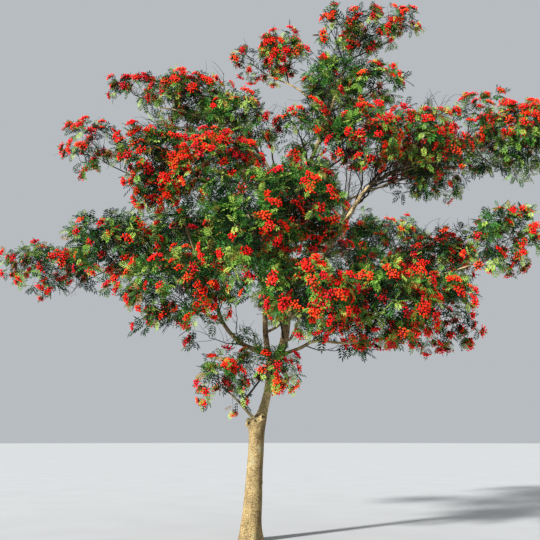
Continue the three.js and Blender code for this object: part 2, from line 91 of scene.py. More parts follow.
# Limbs: parent, share of its length where the limb leaves it, radii at foot and tip, and way points
LIMBS = [Limb(*row) for row in (
    ("leader_east", "trunk", 0.97, (0.08, 0.017), (
        (0.53, -0.05, 3.11), (0.6, -0.1, 3.66), (0.57, -0.15, 4.45), (0.64, -0.15, 5.34), (0.83, -0.1, 5.84),
        (1.11, 0, 6.55), (1.35, 0.05, 7.18), (1.54, 0.1, 7.77), (1.82, 0.2, 8.57))),
    ("leader_west", "trunk", 0.97, (0.06, 0.02), (
        (0.25, 0.1, 3.21), (0.21, 0.2, 3.91), (0.1, 0.4, 4.75), (-0.16, 1.1, 6.07))),
    ("limb_west", "leader_west", 0.12, (0.042, 0.023), (
        (-0.17, -0.1, 3.14), (-0.46, -0.2, 3.46), (-0.63, -0.25, 3.93), (-0.9, -0.2, 4.52))),
    ("bough_west_mid", "limb_west", 1, (0.022, 0.014), ((-1.06, -0.5, 4.97), (-1.24, -0.9, 5.43))),
    ("bough_west_far", "limb_west", 0.97, (0.021, 0.011), (
        (-1.24, -0.2, 4.64), (-1.69, -0.3, 4.47), (-2.32, -0.2, 4.35), (-2.94, 0.2, 4.47))),
    ("bough_west_low", "limb_west", 0.5, (0.022, 0.013), ((-0.76, -0.6, 3.58), (-0.96, -1, 3.58))),
    ("bough_west_high", "leader_east", 0.42, (0.031, 0.012), (
        (0.4, -0.3, 5.86), (0.18, -0.35, 6.28), (-0.2, -0.3, 6.79), (-0.76, -0.15, 7.07), (-1.29, 0, 7.29),
        (-1.71, 0.15, 7.43))),
    ("bough_high_west", "leader_east", 0.77, (0.025, 0.012), (
        (1.02, 0.15, 7.6), (0.72, 0.3, 7.91), (0.28, 0.5, 8.2))),
    ("bough_east_arch", "leader_east", 0.27, (0.056, 0.02), (
        (1.12, -0.3, 4.47), (1.57, -0.4, 5.13), (1.92, -0.5, 5.66), (2.35, -0.6, 5.92), (2.81, -0.7, 6.11))),
    ("bough_east_far", "bough_east_arch", 0.82, (0.022, 0.012), (
        (3.09, -0.3, 6.21), (3.69, 0, 6.52), (4.18, 0.15, 6.65))),
    ("bough_east_low", "leader_east", 0.06, (0.034, 0.015), (
        (0.8, -0.4, 3.02), (1.04, -0.8, 3.09), (1.45, -1.2, 3.01), (2.14, -1.4, 3.06))),
    ("bough_east_mid", "leader_east", 0.2, (0.036, 0.013), (
        (1.36, 0.4, 4.09), (2.3, 0.8, 4.38), (3.22, 0.7, 4.43), (3.96, 0.1, 4.56))),
    ("bough_front", "leader_west", 0.42, (0.034, 0.016), (
        (0.19, -0.9, 3.88), (0.26, -1.9, 4.17), (0.16, -2.5, 4.18))),
    ("bough_front_low", "leader_east", 0.13, (0.03, 0.015), (
        (0.65, -0.6, 3.16), (0.74, -1.3, 3.32), (0.78, -2.2, 3.36))),
    ("bough_low_west", "trunk", 0.625, (0.029, 0.016), (
        (-0.09, -0.12, 2.06), (-0.2, -0.3, 2.18), (-0.32, -0.55, 2.29))),
    ("bough_back_west", "leader_west", 0.6, (0.03, 0.015), ((-0.19, 1.3, 5.05), (-0.6, 2.5, 5.38))),
    ("bough_back_east", "leader_east", 0.3, (0.034, 0.016), ((1.16, 1.2, 4.88), (2.08, 2.8, 5.41))),
    ("bough_back_east_high", "leader_east", 0.4, (0.028, 0.014), (
        (1.42, 0.8, 5.73), (2.47, 1.6, 6.39), (3.26, 2.1, 6.79))),
    ("bough_back_mid", "leader_east", 0.36, (0.028, 0.015), ((0.72, 1, 5.46), (0.86, 2.2, 6.16))),
    ("bough_back_low", "leader_west", 0.3, (0.028, 0.015), ((0.49, 0.9, 3.58), (0.76, 1.8, 3.99))),
)]
TAPER = 1.15
COLLAR = Rule(swell=0.45, reach=1.5)  # a limb's swelling where it leaves its parent, in its own radii
LIMB_RINGS = Rule(apart=0.03, fewest=10, last=0.001)
LIMB_SIDES = Rule(thick=22, thin=14, thick_from=0.045)
LIMB_RELIEF = ((0.09, 9, 3), (0.03, 50, 2))  # depth as a share of the radius, cycles a metre and octaves

# Masses of foliage: limb and share where the stem starts, centre of the mass's space and its half sizes, the
# share of shoots that bear fruit at its foot and at its top (past 0 or 1 it counts as none or all), how many
# sprays each twig has beyond the usual, and the share of sprays that is kept
MASSES = [Mass(*row) for row in (
    ("crest_top", "leader_east", 1, (2.18, 0.15, 8.99), (0.54, 0.56, 0.46), (0.8, 1), 1),
    ("crest_west", "leader_east", 0.95, (1.44, -0.25, 8.74), (0.31, 0.37, 0.38), (0.5, 0.8)),
    ("crest_east", "leader_east", 0.97, (2.76, 0.3, 8.98), (0.34, 0.4, 0.41)),
    ("crest_foot", "leader_east", 0.9, (1.7, 0.35, 8.38), (0.5, 0.52, 0.41), (0.3, 0.4)),
    ("high_east", "leader_east", 0.8, (2.12, -0.45, 7.51), (0.52, 0.64, 0.44), (0.2, 0.5), 1),
    ("high_mid", "leader_east", 0.79, (1.13, -0.75, 7.43), (0.45, 0.54, 0.4), (0.3, 0.4)),
    ("high_west", "bough_high_west", 0.72, (0.575, 0.35, 8.52), (0.5, 0.52, 0.44), (1.4, 1.4), 7),
    ("high_west_tip", "bough_high_west", 1, (-0.11, 0.65, 8.67), (0.38, 0.44, 0.5), (0.8, 0.9), 2, 0.75),
    ("leader_mid", "leader_east", 0.62, (0.8, -0.85, 6.62), (0.56, 0.62, 0.45), (0.2, 1.5), 1),
    ("east_high_inner", "leader_east", 0.56, (1.87, -1.05, 6.35), (0.62, 0.68, 0.48), (1.3, 0.9), 3),
    ("east_high", "bough_east_arch", 1, (2.77, -0.75, 6.58), (0.73, 0.9, 0.58), (0.9, 1), 2),
    ("east_tuft", "bough_east_far", 0.7, (4.05, 0.55, 7.56), (0.33, 0.42, 0.41), (0.7, 0.7), 0, 0.8),
    ("east_far", "bough_east_far", 1, (4.8, 0.25, 6.87), (0.74, 0.88, 0.65), (-0.2, 1.8), 3),
    ("west_high_tip", "bough_west_high", 1, (-2.22, 0.3, 7.82), (0.51, 0.52, 0.33), (0.8, 0.9), 0, 0.8),
    ("west_high", "bough_west_high", 0.86, (-1.08, 0.05, 7.55), (0.7, 0.8, 0.45), (0.2, 1.4), 4),
    ("west_high_inner", "bough_west_high", 0.6, (-0.14, -0.65, 6.86), (0.6, 0.68, 0.49), (0, 0.5)),
    ("west_tips", "bough_west_mid", 1, (-2.6, -0.85, 6.2), (0.51, 0.62, 0.5), (1, 1.2), 1, 0.48),
    ("west_mid", "bough_west_mid", 0.9, (-1.51, -1.3, 5.78), (0.62, 0.86, 0.74), (1.3, 1.2), 3),
    ("west_mid_inner", "bough_west_high", 0.32, (-0.5, -1.5, 5.64), (0.64, 0.82, 0.62), (0, 1.1)),
    ("west_low_high", "bough_west_far", 0.2, (-1.4, 1.25, 5.23), (0.78, 0.9, 0.64), (0.1, 0.1)),
    ("west_low_far", "bough_west_far", 0.6, (-2.27, -0.55, 4.73), (0.72, 0.9, 0.56), (0.5, 0.3), 1),
    ("west_end", "bough_west_far", 1, (-3.72, 0.6, 4.61), (0.74, 0.84, 0.52), (0.8, 0.2)),
    ("west_low", "bough_west_low", 1, (-1.07, -1.6, 3.76), (0.86, 0.82, 0.52), (0.7, 0.4), 1),
    ("front_high", "bough_front", 0.62, (0.73, -2.45, 4.76), (0.64, 0.86, 0.58), (1.2, 0.35), 3),
    ("front_west", "bough_front", 1, (0.02, -2.9, 4.18), (0.6, 0.86, 0.54), (0.5, 0.5), 2),
    ("front_low", "bough_front_low", 1, (0.8, -2.85, 3.42), (0.62, 0.86, 0.43), (1.6, 0.5), 3),
    ("low_west", "bough_low_west", 1, (-0.42, -1, 2.43), (0.39, 0.58, 0.42), (1.4, 1.2), 4, 0.75),
    ("low_mid", "bough_low_west", 0.5, (0.24, -0.9, 2.64), (0.58, 0.65, 0.39), (1.4, 0.2), 3, 0.85),
    ("east_low", "bough_east_low", 0.85, (1.95, -1.95, 3.53), (0.7, 0.94, 0.56), (1.1, 0.3), 3),
    ("east_low_far", "bough_east_low", 1, (2.99, -0.95, 3.54), (0.58, 0.84, 0.57), (1.4, 0.45), 2),
    ("east_mid", "bough_east_mid", 0.7, (3.35, 1.15, 4.79), (0.86, 0.9, 0.52), (0.9, 0.35), 1),
    ("east_mid_far", "bough_east_mid", 1, (4.32, -0.35, 4.84), (0.55, 0.82, 0.6), (1.1, 0.4)),
    ("back_high", "leader_east", 0.68, (1.82, 1.7, 7.98), (0.72, 0.8, 0.56), (0.2, 0.3)),
    ("back_west_high", "leader_west", 1, (-0.62, 2.3, 7.38), (0.8, 0.86, 0.64), (0.15, 0.1)),
    ("back_east_high", "bough_back_east_high", 1, (3.95, 2.45, 7.14), (0.83, 0.9, 0.64)),
    ("back_mid", "bough_back_mid", 1, (0.96, 3.05, 6.78), (0.9, 0.92, 0.7), (0.2, 0.3)),
    ("back_west", "bough_back_west", 1, (-1.07, 3.15, 5.41), (0.94, 0.92, 0.68), (0.2, 0.3)),
    ("back_east", "bough_back_east", 1, (2.83, 3.5, 5.6), (0.94, 0.92, 0.68), (0.2, 0.3)),
    ("back_low", "bough_back_low", 1, (0.92, 2.6, 4.34), (0.88, 0.86, 0.6), (0.25, 0.4)),
)]
REACH = np.array(cad_box, float)
CENTRES = np.array([mass.centre for mass in MASSES], float)
HALVES = np.array([mass.half for mass in MASSES], float)
SPACE = Rule(border=1.4, overlap=0.6)  # how far twigs may reach past a mass's border, and into a neighbour's

# The rule that fills a mass: twigs round a stem, and sprays that fan out from each twig to the mass's border.
# In each table here and below, a bend is how far twigs arch up, from least to most, and how far to any side, in
# their own lengths, and a bar says radii at foot and tip, points along it, sides, and how far it is shaken.
STEM = Rule(
    least=0.012, per_metre=0.015, thickest=0.9, thins=0.3, depth=0.86, sag=0.14, enters=0.8, enters_steps=24,
    points=9, sides=8,
)
TWIG = Rule(
    per_square_metre=4.9, lowest=-0.6, reach=(0.6, 0.75), foot=0.6, tip=0.004, taper=0.8,
    wander=0.5, bend=(0.02, 0.12, 0.05), shake=0.008, points=8, sides=5,
)
SPRAY = Rule(
    reach=(0.82, 1.17), lean=0.5, droop=0.06, count=5, places=(0.1, 0.98), spread=(1.0, 3),
    wander=0.6, least=0.12, bend=(0.03, 0.16, 0.05), bar=((0.0045, 0.0022), 4, 3, 0.006),
)
PULLED_IN = (1, 0.88, 0.76, 0.64, 0.52)  # shares of its length to which a twig is cut back, to end in its own space
LEAF_ROOM = 0.05  # kept free inside a mass's border for the leaves on a spray's end
HANGING = {"east_low": 0.5, "east_low_far": 0.5, "front_low": 0.3}  # droop of the sprays at a mass's foot

# Openings between the masses, where the sky shows: centre and half sizes
OPENINGS = (
    (3.23, 0.3, 8.1, 0.76, 1.5, 0.66), (3.05, -1, 7.1, 0.85, 1.2, 0.37), (2.5, -0.8, 7.98, 0.35, 0.8, 0.22),
    (2.45, -0.4, 8.04, 0.34, 0.9, 0.22), (3.29, 0.2, 9.01, 0.26, 1, 0.67), (2.5, 0.1, 8.38, 0.42, 0.9, 0.24),
    (2.75, 0.3, 8.6, 0.35, 0.9, 0.24), (1.72, 0, 9.34, 0.2, 0.8, 0.24), (2.48, 0.2, 9.39, 0.2, 0.8, 0.2),
    (0.44, 0, 7.54, 0.52, 1.4, 0.5), (0.56, -0.7, 7.04, 0.42, 1, 0.28), (-0.2, 0.2, 7.9, 0.36, 1.2, 0.22),
    (0.85, 0.2, 8.15, 0.25, 0.9, 0.25), (-0.62, 0.5, 9.05, 0.46, 1, 0.42), (-0.25, 0.6, 8.98, 0.3, 0.9, 0.26),
    (1.04, 0.1, 8.97, 0.24, 1, 0.45), (-1.95, 0.1, 7.2, 0.52, 1.2, 0.28), (-1.42, -0.2, 7.12, 0.38, 1.2, 0.18),
    (-2.4, 0.3, 7.43, 0.55, 1, 0.21), (-1.75, 0.1, 8.42, 1.3, 1.1, 0.41), (-0.74, -0.1, 8.15, 0.64, 1.2, 0.36),
    (-2.9, 0.1, 7.85, 0.33, 1, 0.38), (1.85, -0.7, 6.98, 0.24, 0.9, 0.18), (2.11, 1.7, 8, 0.26, 1, 0.2),
    (-0.36, -0.8, 6.5, 0.28, 0.9, 0.16), (-0.55, 2.3, 7.75, 0.34, 1, 0.2), (-1.85, -1.8, 6.42, 0.35, 0.7, 0.22),
    (-2.36, -0.9, 5.98, 0.22, 0.8, 0.2), (-2.15, -1.3, 5.72, 0.24, 0.8, 0.22), (-2.3, -0.1, 5.5, 0.58, 1.2, 0.28),
    (-1.95, -0.2, 5.32, 0.24, 1.2, 0.2), (-2.45, -0.8, 5.28, 0.42, 0.8, 0.2), (-3.62, 0.4, 5.25, 1.12, 1.3, 0.38),
    (-4.05, 0.2, 4.95, 0.28, 0.9, 0.2), (0.54, -2.6, 3.04, 0.15, 0.9, 0.26), (0.57, -1.2, 3.2, 0.17, 0.8, 0.28),
    (0.23, -2.4, 3.12, 0.13, 0.9, 0.22), (0.22, -1, 3.3, 0.15, 0.7, 0.24),
)
OPENING_CENTRES, OPENING_HALVES = np.hsplit(np.array(OPENINGS, float), 2)
LEAF_MARGIN = 1.2  # an opening's border lies a little further out for twigs, so that their leaves keep clear of it

# The finer rule: shoots along each spray, and leaves and fruit round each shoot's tip
SHOOT = Rule(
    apart=0.27, first=0.38, places=(0.1, 0.7), inner_below=0.7, length=(0.06, 0.15),
    weights=(0.5, 0.8, 0.4, 0.3, 0.25),  # of its heading: along the spray, aside, outward, up and at random
    rise=0.08, bar=((0.0028, 0.0016), 3, 3, 0), clear_of_limbs=0.04, limb_samples=60, inner_on_limbs=0.5,
)
LEAF = Rule(
    on_shoot=(5, 8), length=(0.125, 0.17), beside_fruit=0.95, elsewhere=1.05, inner=1.3,
    apart=0.018, angle=(0.6, 1.5), stray=0.12, droop=(0, 0.22), droop_aside=0.8,
    facing=(0.8, 0.4, 0.28),  # weights of up, along the shoot and at random
    # the share of inner shoots whose leaves are mid rather than deep; their darker tones are painted shade
    kinds=4, own_tone=0.7, inner_mid=0.3,
)
LEAFLETS = Rule(  # in leaf lengths, and the fold and the sag in leaflet widths and lengths
    places=(0.24, 0.80, 4), longest=1.5, length=0.38, shorter=0.05, width=0.36, angle=(0.9, 1.15),
    sizes=(0.9, 1.1), widest=0.42, fold=0.22, sag=0.12,
    end=(0.84, 0.15, 0.34, 0.12), midrib=(0.88, 0.014),  # place, stray angle, length, width; length, half width
)
FRUITING = Rule(heavy=1.04, light=0.50, heavy_sprays=0.6, grading=0.7)
# Places where the fruit hangs thinner or thicker: centre, half sizes and factor
FRUIT_SPOTS = (
    (-0.19, -3, 4.49, 0.28, 1, 0.5, 0.2), (1.33, -2.4, 4.93, 0.34, 1, 0.4, 0.15),
    (0.75, -2.9, 5.22, 0.3, 1, 0.25, 0.3), (0.33, -2.8, 4.88, 0.26, 1, 0.3, 0.3),
    (0.82, -2.6, 4.84, 0.26, 1, 0.32, 2.5), (0.32, -3, 4.22, 0.26, 1, 0.28, 2.6),
    (1.49, -1, 6.6, 0.31, 0.8, 0.36, 0.15), (2.7, -1.4, 6.95, 0.45, 1, 0.25, 0.2),
    (3.6, 0.9, 4.62, 0.38, 1.2, 0.34, 0.5), (-0.77, -1.5, 5.82, 0.33, 1, 0.36, 3),
    (-1.45, -1.4, 6.42, 0.34, 1, 0.26, 0.35), (3.91, -0.3, 4.95, 0.32, 1, 0.32, 0.2),
    (4.85, 0.2, 7.12, 0.38, 1, 0.34, 3), (2.42, -1.5, 3.14, 0.37, 1, 0.28, 3), (-1.01, 0, 7.73, 0.34, 1, 0.26, 3),
    (-2.01, -1.2, 5.87, 0.3, 1, 0.3, 0.5), (1.75, -2, 3.95, 0.3, 1, 0.32, 0.2), (2.25, -1.9, 3.9, 0.28, 1, 0.3, 3),
    (-2.65, -0.4, 4.92, 0.34, 1.3, 0.32, 0.35), (-2, -0.8, 5.3, 0.3, 1, 0.45, 0.5),
    (0.32, -3, 3.78, 0.25, 1.2, 0.24, 0.25), (0.32, -2.8, 3.3, 0.25, 1.2, 0.24, 0.5),
    (-0.73, -1.8, 3.48, 0.28, 1.1, 0.28, 0.8), (1.4, -1.5, 4.02, 0.32, 1.7, 0.34, 0.4),
    (-0.78, -1.1, 2.49, 0.27, 0.8, 0.28, 0.45), (-0.24, -1.7, 5.79, 0.28, 1.1, 0.28, 3),
    (0.28, -0.8, 6.55, 0.28, 0.9, 0.28, 2.5), (-0.29, -0.4, 6.82, 0.32, 1.7, 0.34, 0.25),
    (3.42, 0.8, 4.98, 0.32, 1.4, 0.3, 2), (1.2, -2.3, 3.15, 0.25, 1.2, 0.24, 0.5),
    (-0.27, -1.1, 2.5, 0.25, 0.8, 0.27, 1.8), (-1.39, -1.3, 5.86, 0.3, 1.1, 0.3, 0.45),
    (0.98, 0.3, 8.54, 0.33, 0.8, 0.33, 0.5), (4.91, 0.25, 7.72, 0.4, 1, 0.3, 0.3),
    (2.8, -0.6, 6.05, 0.3, 1.2, 0.3, 0.4),
)
CORYMB = Rule(
    radius=(0.060, 0.097), oval=(0.75, 1.2), dome=0.5, stalk=0.06, stalks=4, stalk_half=0.0015,
    berries=16, berry=0.0162, sizes=(0.8, 1.2), shake=0.006,
    heart=0.72, heart_dome=(0.1, 0.4), heart_sides=5,
    weights=(0.5, 0.7, 0.45, 0.12),  # of its axis: along the shoot, outward, up and at random
)
BERRY = np.array(((1, 0, 0), (-1, 0, 0), (0, 1, 0), (0, -1, 0), (0, 0, 1), (0, 0, -1)), float)
BERRY_FACES = np.array(((0, 2, 4), (2, 1, 4), (1, 3, 4), (3, 0, 4), (2, 0, 5), (1, 2, 5), (3, 1, 5), (0, 3, 5)))

# Fine branches along the boughs, between the masses, and the leafy sprays that fork from them
SIDE_BRANCH = Rule(
    apart=0.24, apart_close=0.12, from_share=0.3, from_share_low=0.06, lowest=2.75, furthest=4.0,
    length=(0.45, 1.2), along=0.9, rise=0.4, bend=(-0.05, 0.14, 0.08), bar=((0.011, 0.0035), 7, 5, 0.012),
    slope_over=0.02,
)
FORK = Rule(places=(0.42, 0.62, 0.82, 1.0), stray=0.06, length=(0.2, 0.48), ahead=0.8, up=0.25, random=0.3)
CLOSE_BRANCHES = {"limb_west", "leader_west", "bough_west_low", "bough_front_low"}
LOW_BRANCHED = {"leader_west", "leader_east", "limb_west", "bough_west_low", "bough_front_low", "bough_front"}
BARE_BRANCHES = {
    "bough_east_arch": 22, "leader_east": 18, "bough_west_high": 10, "bough_high_west": 6, "bough_east_mid": 8,
    "bough_east_far": 6, "limb_west": 8, "leader_west": 8, "bough_west_far": 5, "bough_front": 4,
}
BARE_TWIG = Rule(
    on_branch=5, on_twig=2, on_bough=9, on_bare_twig=3, first=0.2, length=(0.12, 0.42),
    aside=0.8, up=0.2, bend=(-0.10, 0.16, 0.10), bar=((0.004, 0.0018), 4, 3, 0),
)
SIDE_BOUGHS = (  # limb, how many, and the shares of its length between which they leave it
    ("bough_east_arch", 19, (0.08, 0.72)), ("leader_east", 11, (0.28, 0.58)), ("bough_east_mid", 4, (0.15, 0.6)),
    ("bough_west_high", 4, (0.2, 0.6)), ("leader_east", 4, (0.04, 0.16)), ("leader_west", 4, (0.04, 0.24)),
)
SIDE_BOUGH = Rule(
    length=(0.9, 1.7), aside=0.62, bend=(0.02, 0.12, 0.09), bar=((0.017, 0.005), 9, 6, 0.02), slope_over=0.05,
)

# Linear base colours, and how often each tone comes at the crown's west and east ends; the darker tones come
# more often at the west end, partly as the foliage's and fruit's own colour and partly as painted shade. Fruit
# gets its tone by head, and a leaf either its shoot's or its own; leaves on inner shoots get only the deep or
# mid tone, as painted shade.
LEAF_TONES = {
    "deep": ((0.005, 0.025, 0.006), 0.24, 0.15),
    "mid": ((0.032, 0.125, 0.016), 0.28, 0.22),
    "olive": ((0.135, 0.270, 0.034), 0.25, 0.31),
    "light": ((0.290, 0.395, 0.068), 0.21, 0.29),
    "tinted": ((0.260, 0.150, 0.030), 0.03, 0.04),
}
BERRY_TONES = {
    "orange": ((0.78, 0.058, 0.010), 0.08, 0.20),
    "scarlet": ((0.78, 0.022, 0.006), 0.27, 0.38),
    "red": ((0.70, 0.011, 0.008), 0.40, 0.30),
    "crimson": ((0.50, 0.006, 0.014), 0.25, 0.12),
}
WEST_END, EAST_END = -3.6, 4.2
PAINT = {  # the painted glow is painted light, standing for light that passes through the ripe fruit, as a share of its colour
    "leaf": {"roughness": 0.6, "spread": 0.25, "scale": 40, "specular": 0.08},
    "berry": {"roughness": 0.4, "spread": 0.15, "scale": 60, "specular": 0.08, "painted_glow": 0.23},
    "stalk": {"roughness": 0.7, "spread": 0.2, "scale": 50},
}
STALK_COLOUR = (0.16, 0.07, 0.03)
# painted shade: the darker red of berries deep in a head, and darker still in the gaps between them
SHADED_BERRY, PAINTED_SHADE_BETWEEN_BERRIES = (0.50, 0.018, 0.010), (0.045, 0.004, 0.003)
BERRY_CELL = 0.021
BARKS = {  # pale, middle and dark bark, and lichen
    "trunk_bark": ((0.36, 0.265, 0.120), (0.29, 0.208, 0.092), (0.17, 0.122, 0.056), (0.30, 0.30, 0.18)),
    # the low bough's bark is paler, as painted light where the low masses shade it
    "painted_light_bark": ((0.66, 0.54, 0.32), (0.52, 0.42, 0.25), (0.26, 0.20, 0.12), (0.40, 0.40, 0.27)),
    "bough_bark": ((0.48, 0.37, 0.19), (0.31, 0.225, 0.115), (0.10, 0.073, 0.04), (0.30, 0.30, 0.19)),
    "twig_bark": ((0.08, 0.056, 0.032), (0.038, 0.027, 0.018), (0.018, 0.013, 0.009), (0.05, 0.05, 0.03)),
}
PAINTED_LIGHT_ON_BARK = (1.75, 1.98, 2.08)  # how much paler the upper trunk's bark is painted, as painted light where the crown's shade falls on it
PAINTED_LIGHT_HEIGHTS = (1.80, 2.05)  # heights between which the painted light fades in
WHITE, BLACK = (1, 1, 1), (0, 0, 0)

FLOOR = Rule(radius=150, sides=96, colours=((0.3, (0.47, 0.475, 0.475)), (0.7, (0.50, 0.505, 0.505))))
SKY = {"Color": (0.90, 0.95, 1.0, 1), "Strength": 0.53}
SUN, SUN_HEADING = {"energy": 8.4, "angle": 0.08}, (0.64, 0.62, -0.37)
CAMERA, CAMERA_PLACE, CAMERA_TILT = {"sensor_width": 36, "lens": 52, "clip_end": 500}, (0.315, -13, 1.65), 11.92


class Seeded:
    """Repeatable random numbers from 0 to 1, as in the part's source."""

    def __init__(self, seed):
        self.state = seed

    def __call__(self):
        self.state = (self.state * 1664525 + 1013904223) % 2**32
        return self.state / 2**32


def between(ends, share):
    return ends[0] + (ends[1] - ends[0]) * share


def unit(vectors):
    return vectors / np.maximum(np.linalg.norm(vectors, axis=-1, keepdims=True), 1e-9)


def unit_across(vectors, along):
    """The parts of vectors that lie across unit vectors, a unit long."""
    return unit(vectors - np.sum(vectors * along, axis=1, keepdims=True) * along)


def level_across(along):
    return unit(np.cross(along, UP) + 1e-6)


def turned_to(turns, first, second):
    """Headings at turns from first towards second."""
    return np.cos(turns)[..., None] * first + np.sin(turns)[..., None] * second


def round_turns(count):
    return TURN * np.arange(count) / count


def bell(*away):
    """Falls from 1 where every distance is 0."""
    return np.exp(-sum(distance**2 for distance in away))


def columns(rows):
    return (np.array(column) for column in zip(*rows))


def smooth_curve(points, shares):
    """Points on the Catmull-Rom curve through the way points, at shares of the way to the last."""
    points = np.asarray(points, float)
    padded = np.vstack((2 * points[0] - points[1], points, 2 * points[-1] - points[-2]))
    place = np.clip(np.atleast_1d(shares), 0, 1) * (len(points) - 1)
    span = np.minimum(place.astype(int), len(points) - 2)
    t = (place - span)[:, None]
    before, start, end, after = (padded[span + k] for k in range(4))
    leaving, arriving = 0.5 * (end - before), 0.5 * (after - start)
    return (
        (2 * t**3 - 3 * t**2 + 1) * start
        + (t**3 - 2 * t**2 + t) * leaving
        + (3 * t**2 - 2 * t**3) * end
        + (t**3 - t**2) * arriving
    )


def lumps(points, scale, octaves=3):
    """Smooth noise from about -1 to 1 at each point; scale is in cycles a metre."""
    return np.array([noise.fractal(Vector(p) * scale, 0.9, 2.0, octaves) for p in points])


class GrownLimb:
    """A limb's smooth axis and its radius along it."""

    def __init__(self, points, radii):
        self.points = np.array(points, float)
        samples = smooth_curve(self.points, np.linspace(0, 1, 200))
        self.length = np.linalg.norm(np.diff(samples, axis=0), axis=1).sum()
        self.foot, self.tip = radii

    def axis(self, share):
        return smooth_curve(self.points, share)[0]

    def radius(self, share):
        share = np.asarray(share, float)
        collar = COLLAR.swell * self.foot * np.exp(-share * self.length / (COLLAR.reach * self.foot))
        return self.tip + (self.foot - self.tip) * (1 - share) ** TAPER + collar


class Trunk:
    def stations(self, shares):
        """Rows of lean, 0, height and radius at shares of the way from the ground to the fork."""
        return smooth_curve([(lean, 0, height, radius) for height, lean, radius in TRUNK_STATIONS], shares)

    def axis(self, share):
        return self.stations(share)[0][:3]

    def radius(self, share):
        return self.stations(share)[0][3]


def grow_limbs():
    grown = {"trunk": Trunk()}
    for limb in LIMBS:
        grown[limb.name] = GrownLimb([grown[limb.on].axis(limb.at), *limb.way], limb.radii)
    return grown


def placed(name, data, **settings):
    """A new object in the scene, its data with these settings."""
    for setting, value in settings.items():
        setattr(data, setting, value)
    obj = bpy.data.objects.new(name, data)
    bpy.context.scene.collection.objects.link(obj)
    return obj


def mesh_object(name, vertices, faces, material, smooth=False):
    mesh = bpy.data.meshes.new(name)
    mesh.from_pydata(vertices, [], faces)
    mesh.polygons.foreach_set("use_smooth", np.full(len(faces), smooth))
    mesh.materials.append(material)
    mesh.update()
    return placed(name, mesh)


def joined(parts):
    """Several (vertices, faces) pairs as one."""
    vertices, faces = zip(*parts)
    starts = np.cumsum([0, *map(len, vertices)])
    return np.concatenate(vertices), np.concatenate([face + start for face, start in zip(faces, starts)])


def repeated(faces, count, step):
    """The faces of many like items, whose points follow each other."""
    return (faces + step * np.arange(count)[:, None, None]).reshape(-1, faces.shape[1])


def ring_faces(rings, sides):
    """Quads between rings of points, for one bar."""
    here = np.arange((rings - 1) * sides)
    there = here + 1 - sides * ((here + 1) % sides == 0)
    return np.stack((here, there, there + sides, here + sides), axis=1)


def bars(paths, radii, sides):
    """Many tapering round bars at once: paths is (bars, points, 3), and radii (bars, points) or one row for all."""
    count, points, _ = paths.shape
    along = unit(np.gradient(paths, axis=1))
    side = level_across(along[:, 0])
    turns = round_turns(sides)
    rings = np.empty((count, points, sides, 3))
    for k in range(points):
        side = unit_across(side, along[:, k])
        other = np.cross(along[:, k], side)
        rings[:, k] = paths[:, k, None] + radii[:, k, None, None] * turned_to(turns, side[:, None], other[:, None])
    return rings.reshape(-1, 3), repeated(ring_faces(points, sides), count, points * sides)


def arch(shares):
    """Rises from 0 at share 0 to 1 at the middle, and falls again."""
    return (4 * shares * (1 - shares))[..., None]


def arched(starts, ends, bends, shares):
    """Points on arched twigs at the given shares, a row for each twig or one for all. Bends are in twig lengths."""
    span = ends - starts
    length = np.linalg.norm(span, axis=1, keepdims=True)
    return starts[:, None] + span[:, None] * shares[..., None] + (bends * length)[:, None] * arch(shares)


def random_bends(bend, count, rng):
    least, most, aside = bend
    return rng.uniform(least, most, (count, 1)) * UP + rng.normal(0, aside, (count, 3))


def twig_bars(twigs, bar, rng):
    """Bars along arched twigs, which are (starts, ends, bends), and the bars' paths."""
    radii, points, sides, shake = bar
    paths = arched(*twigs, np.linspace(0, 1, points)[None])
    if shake:
        paths[:, 1:-1] += rng.normal(0, shake, (len(paths), points - 2, 3))
    return bars(paths, np.linspace(*radii, points)[None], sides), paths


def depth_in(points, index=slice(None)):
    """How far out points lie in one mass's space, or one point in each: 0 at its centre and 1 on its border."""
    return (((points - CENTRES[index]) / HALVES[index]) ** 2).sum(axis=-1)


def in_opening(points):
    """Which points lie in one of the crown's openings."""
    away = (points[..., None, :] - OPENING_CENTRES) / OPENING_HALVES
    return ((away**2).sum(axis=-1) < LEAF_MARGIN).any(axis=-1)


def in_own_space(point, index):
    depths = depth_in(point)
    own = depths[index]
    depths[index] = np.inf
    if np.any(point < REACH[0]) or np.any(point > REACH[1]) or in_opening(point):
        return False
    return own <= SPACE.border and own <= depths.min() + SPACE.overlap


def pulled_in(root, end, index):
    """The furthest point on the way from root to end that is in the mass's own space, or None if none is."""
    points = (root + share * (end - root) for share in PULLED_IN)
    return next((point for point in points if in_own_space(point, index)), None)


def towards(index, heading, reach, room=0.0):
    return CENTRES[index] + heading * (HALVES[index] - room) * reach


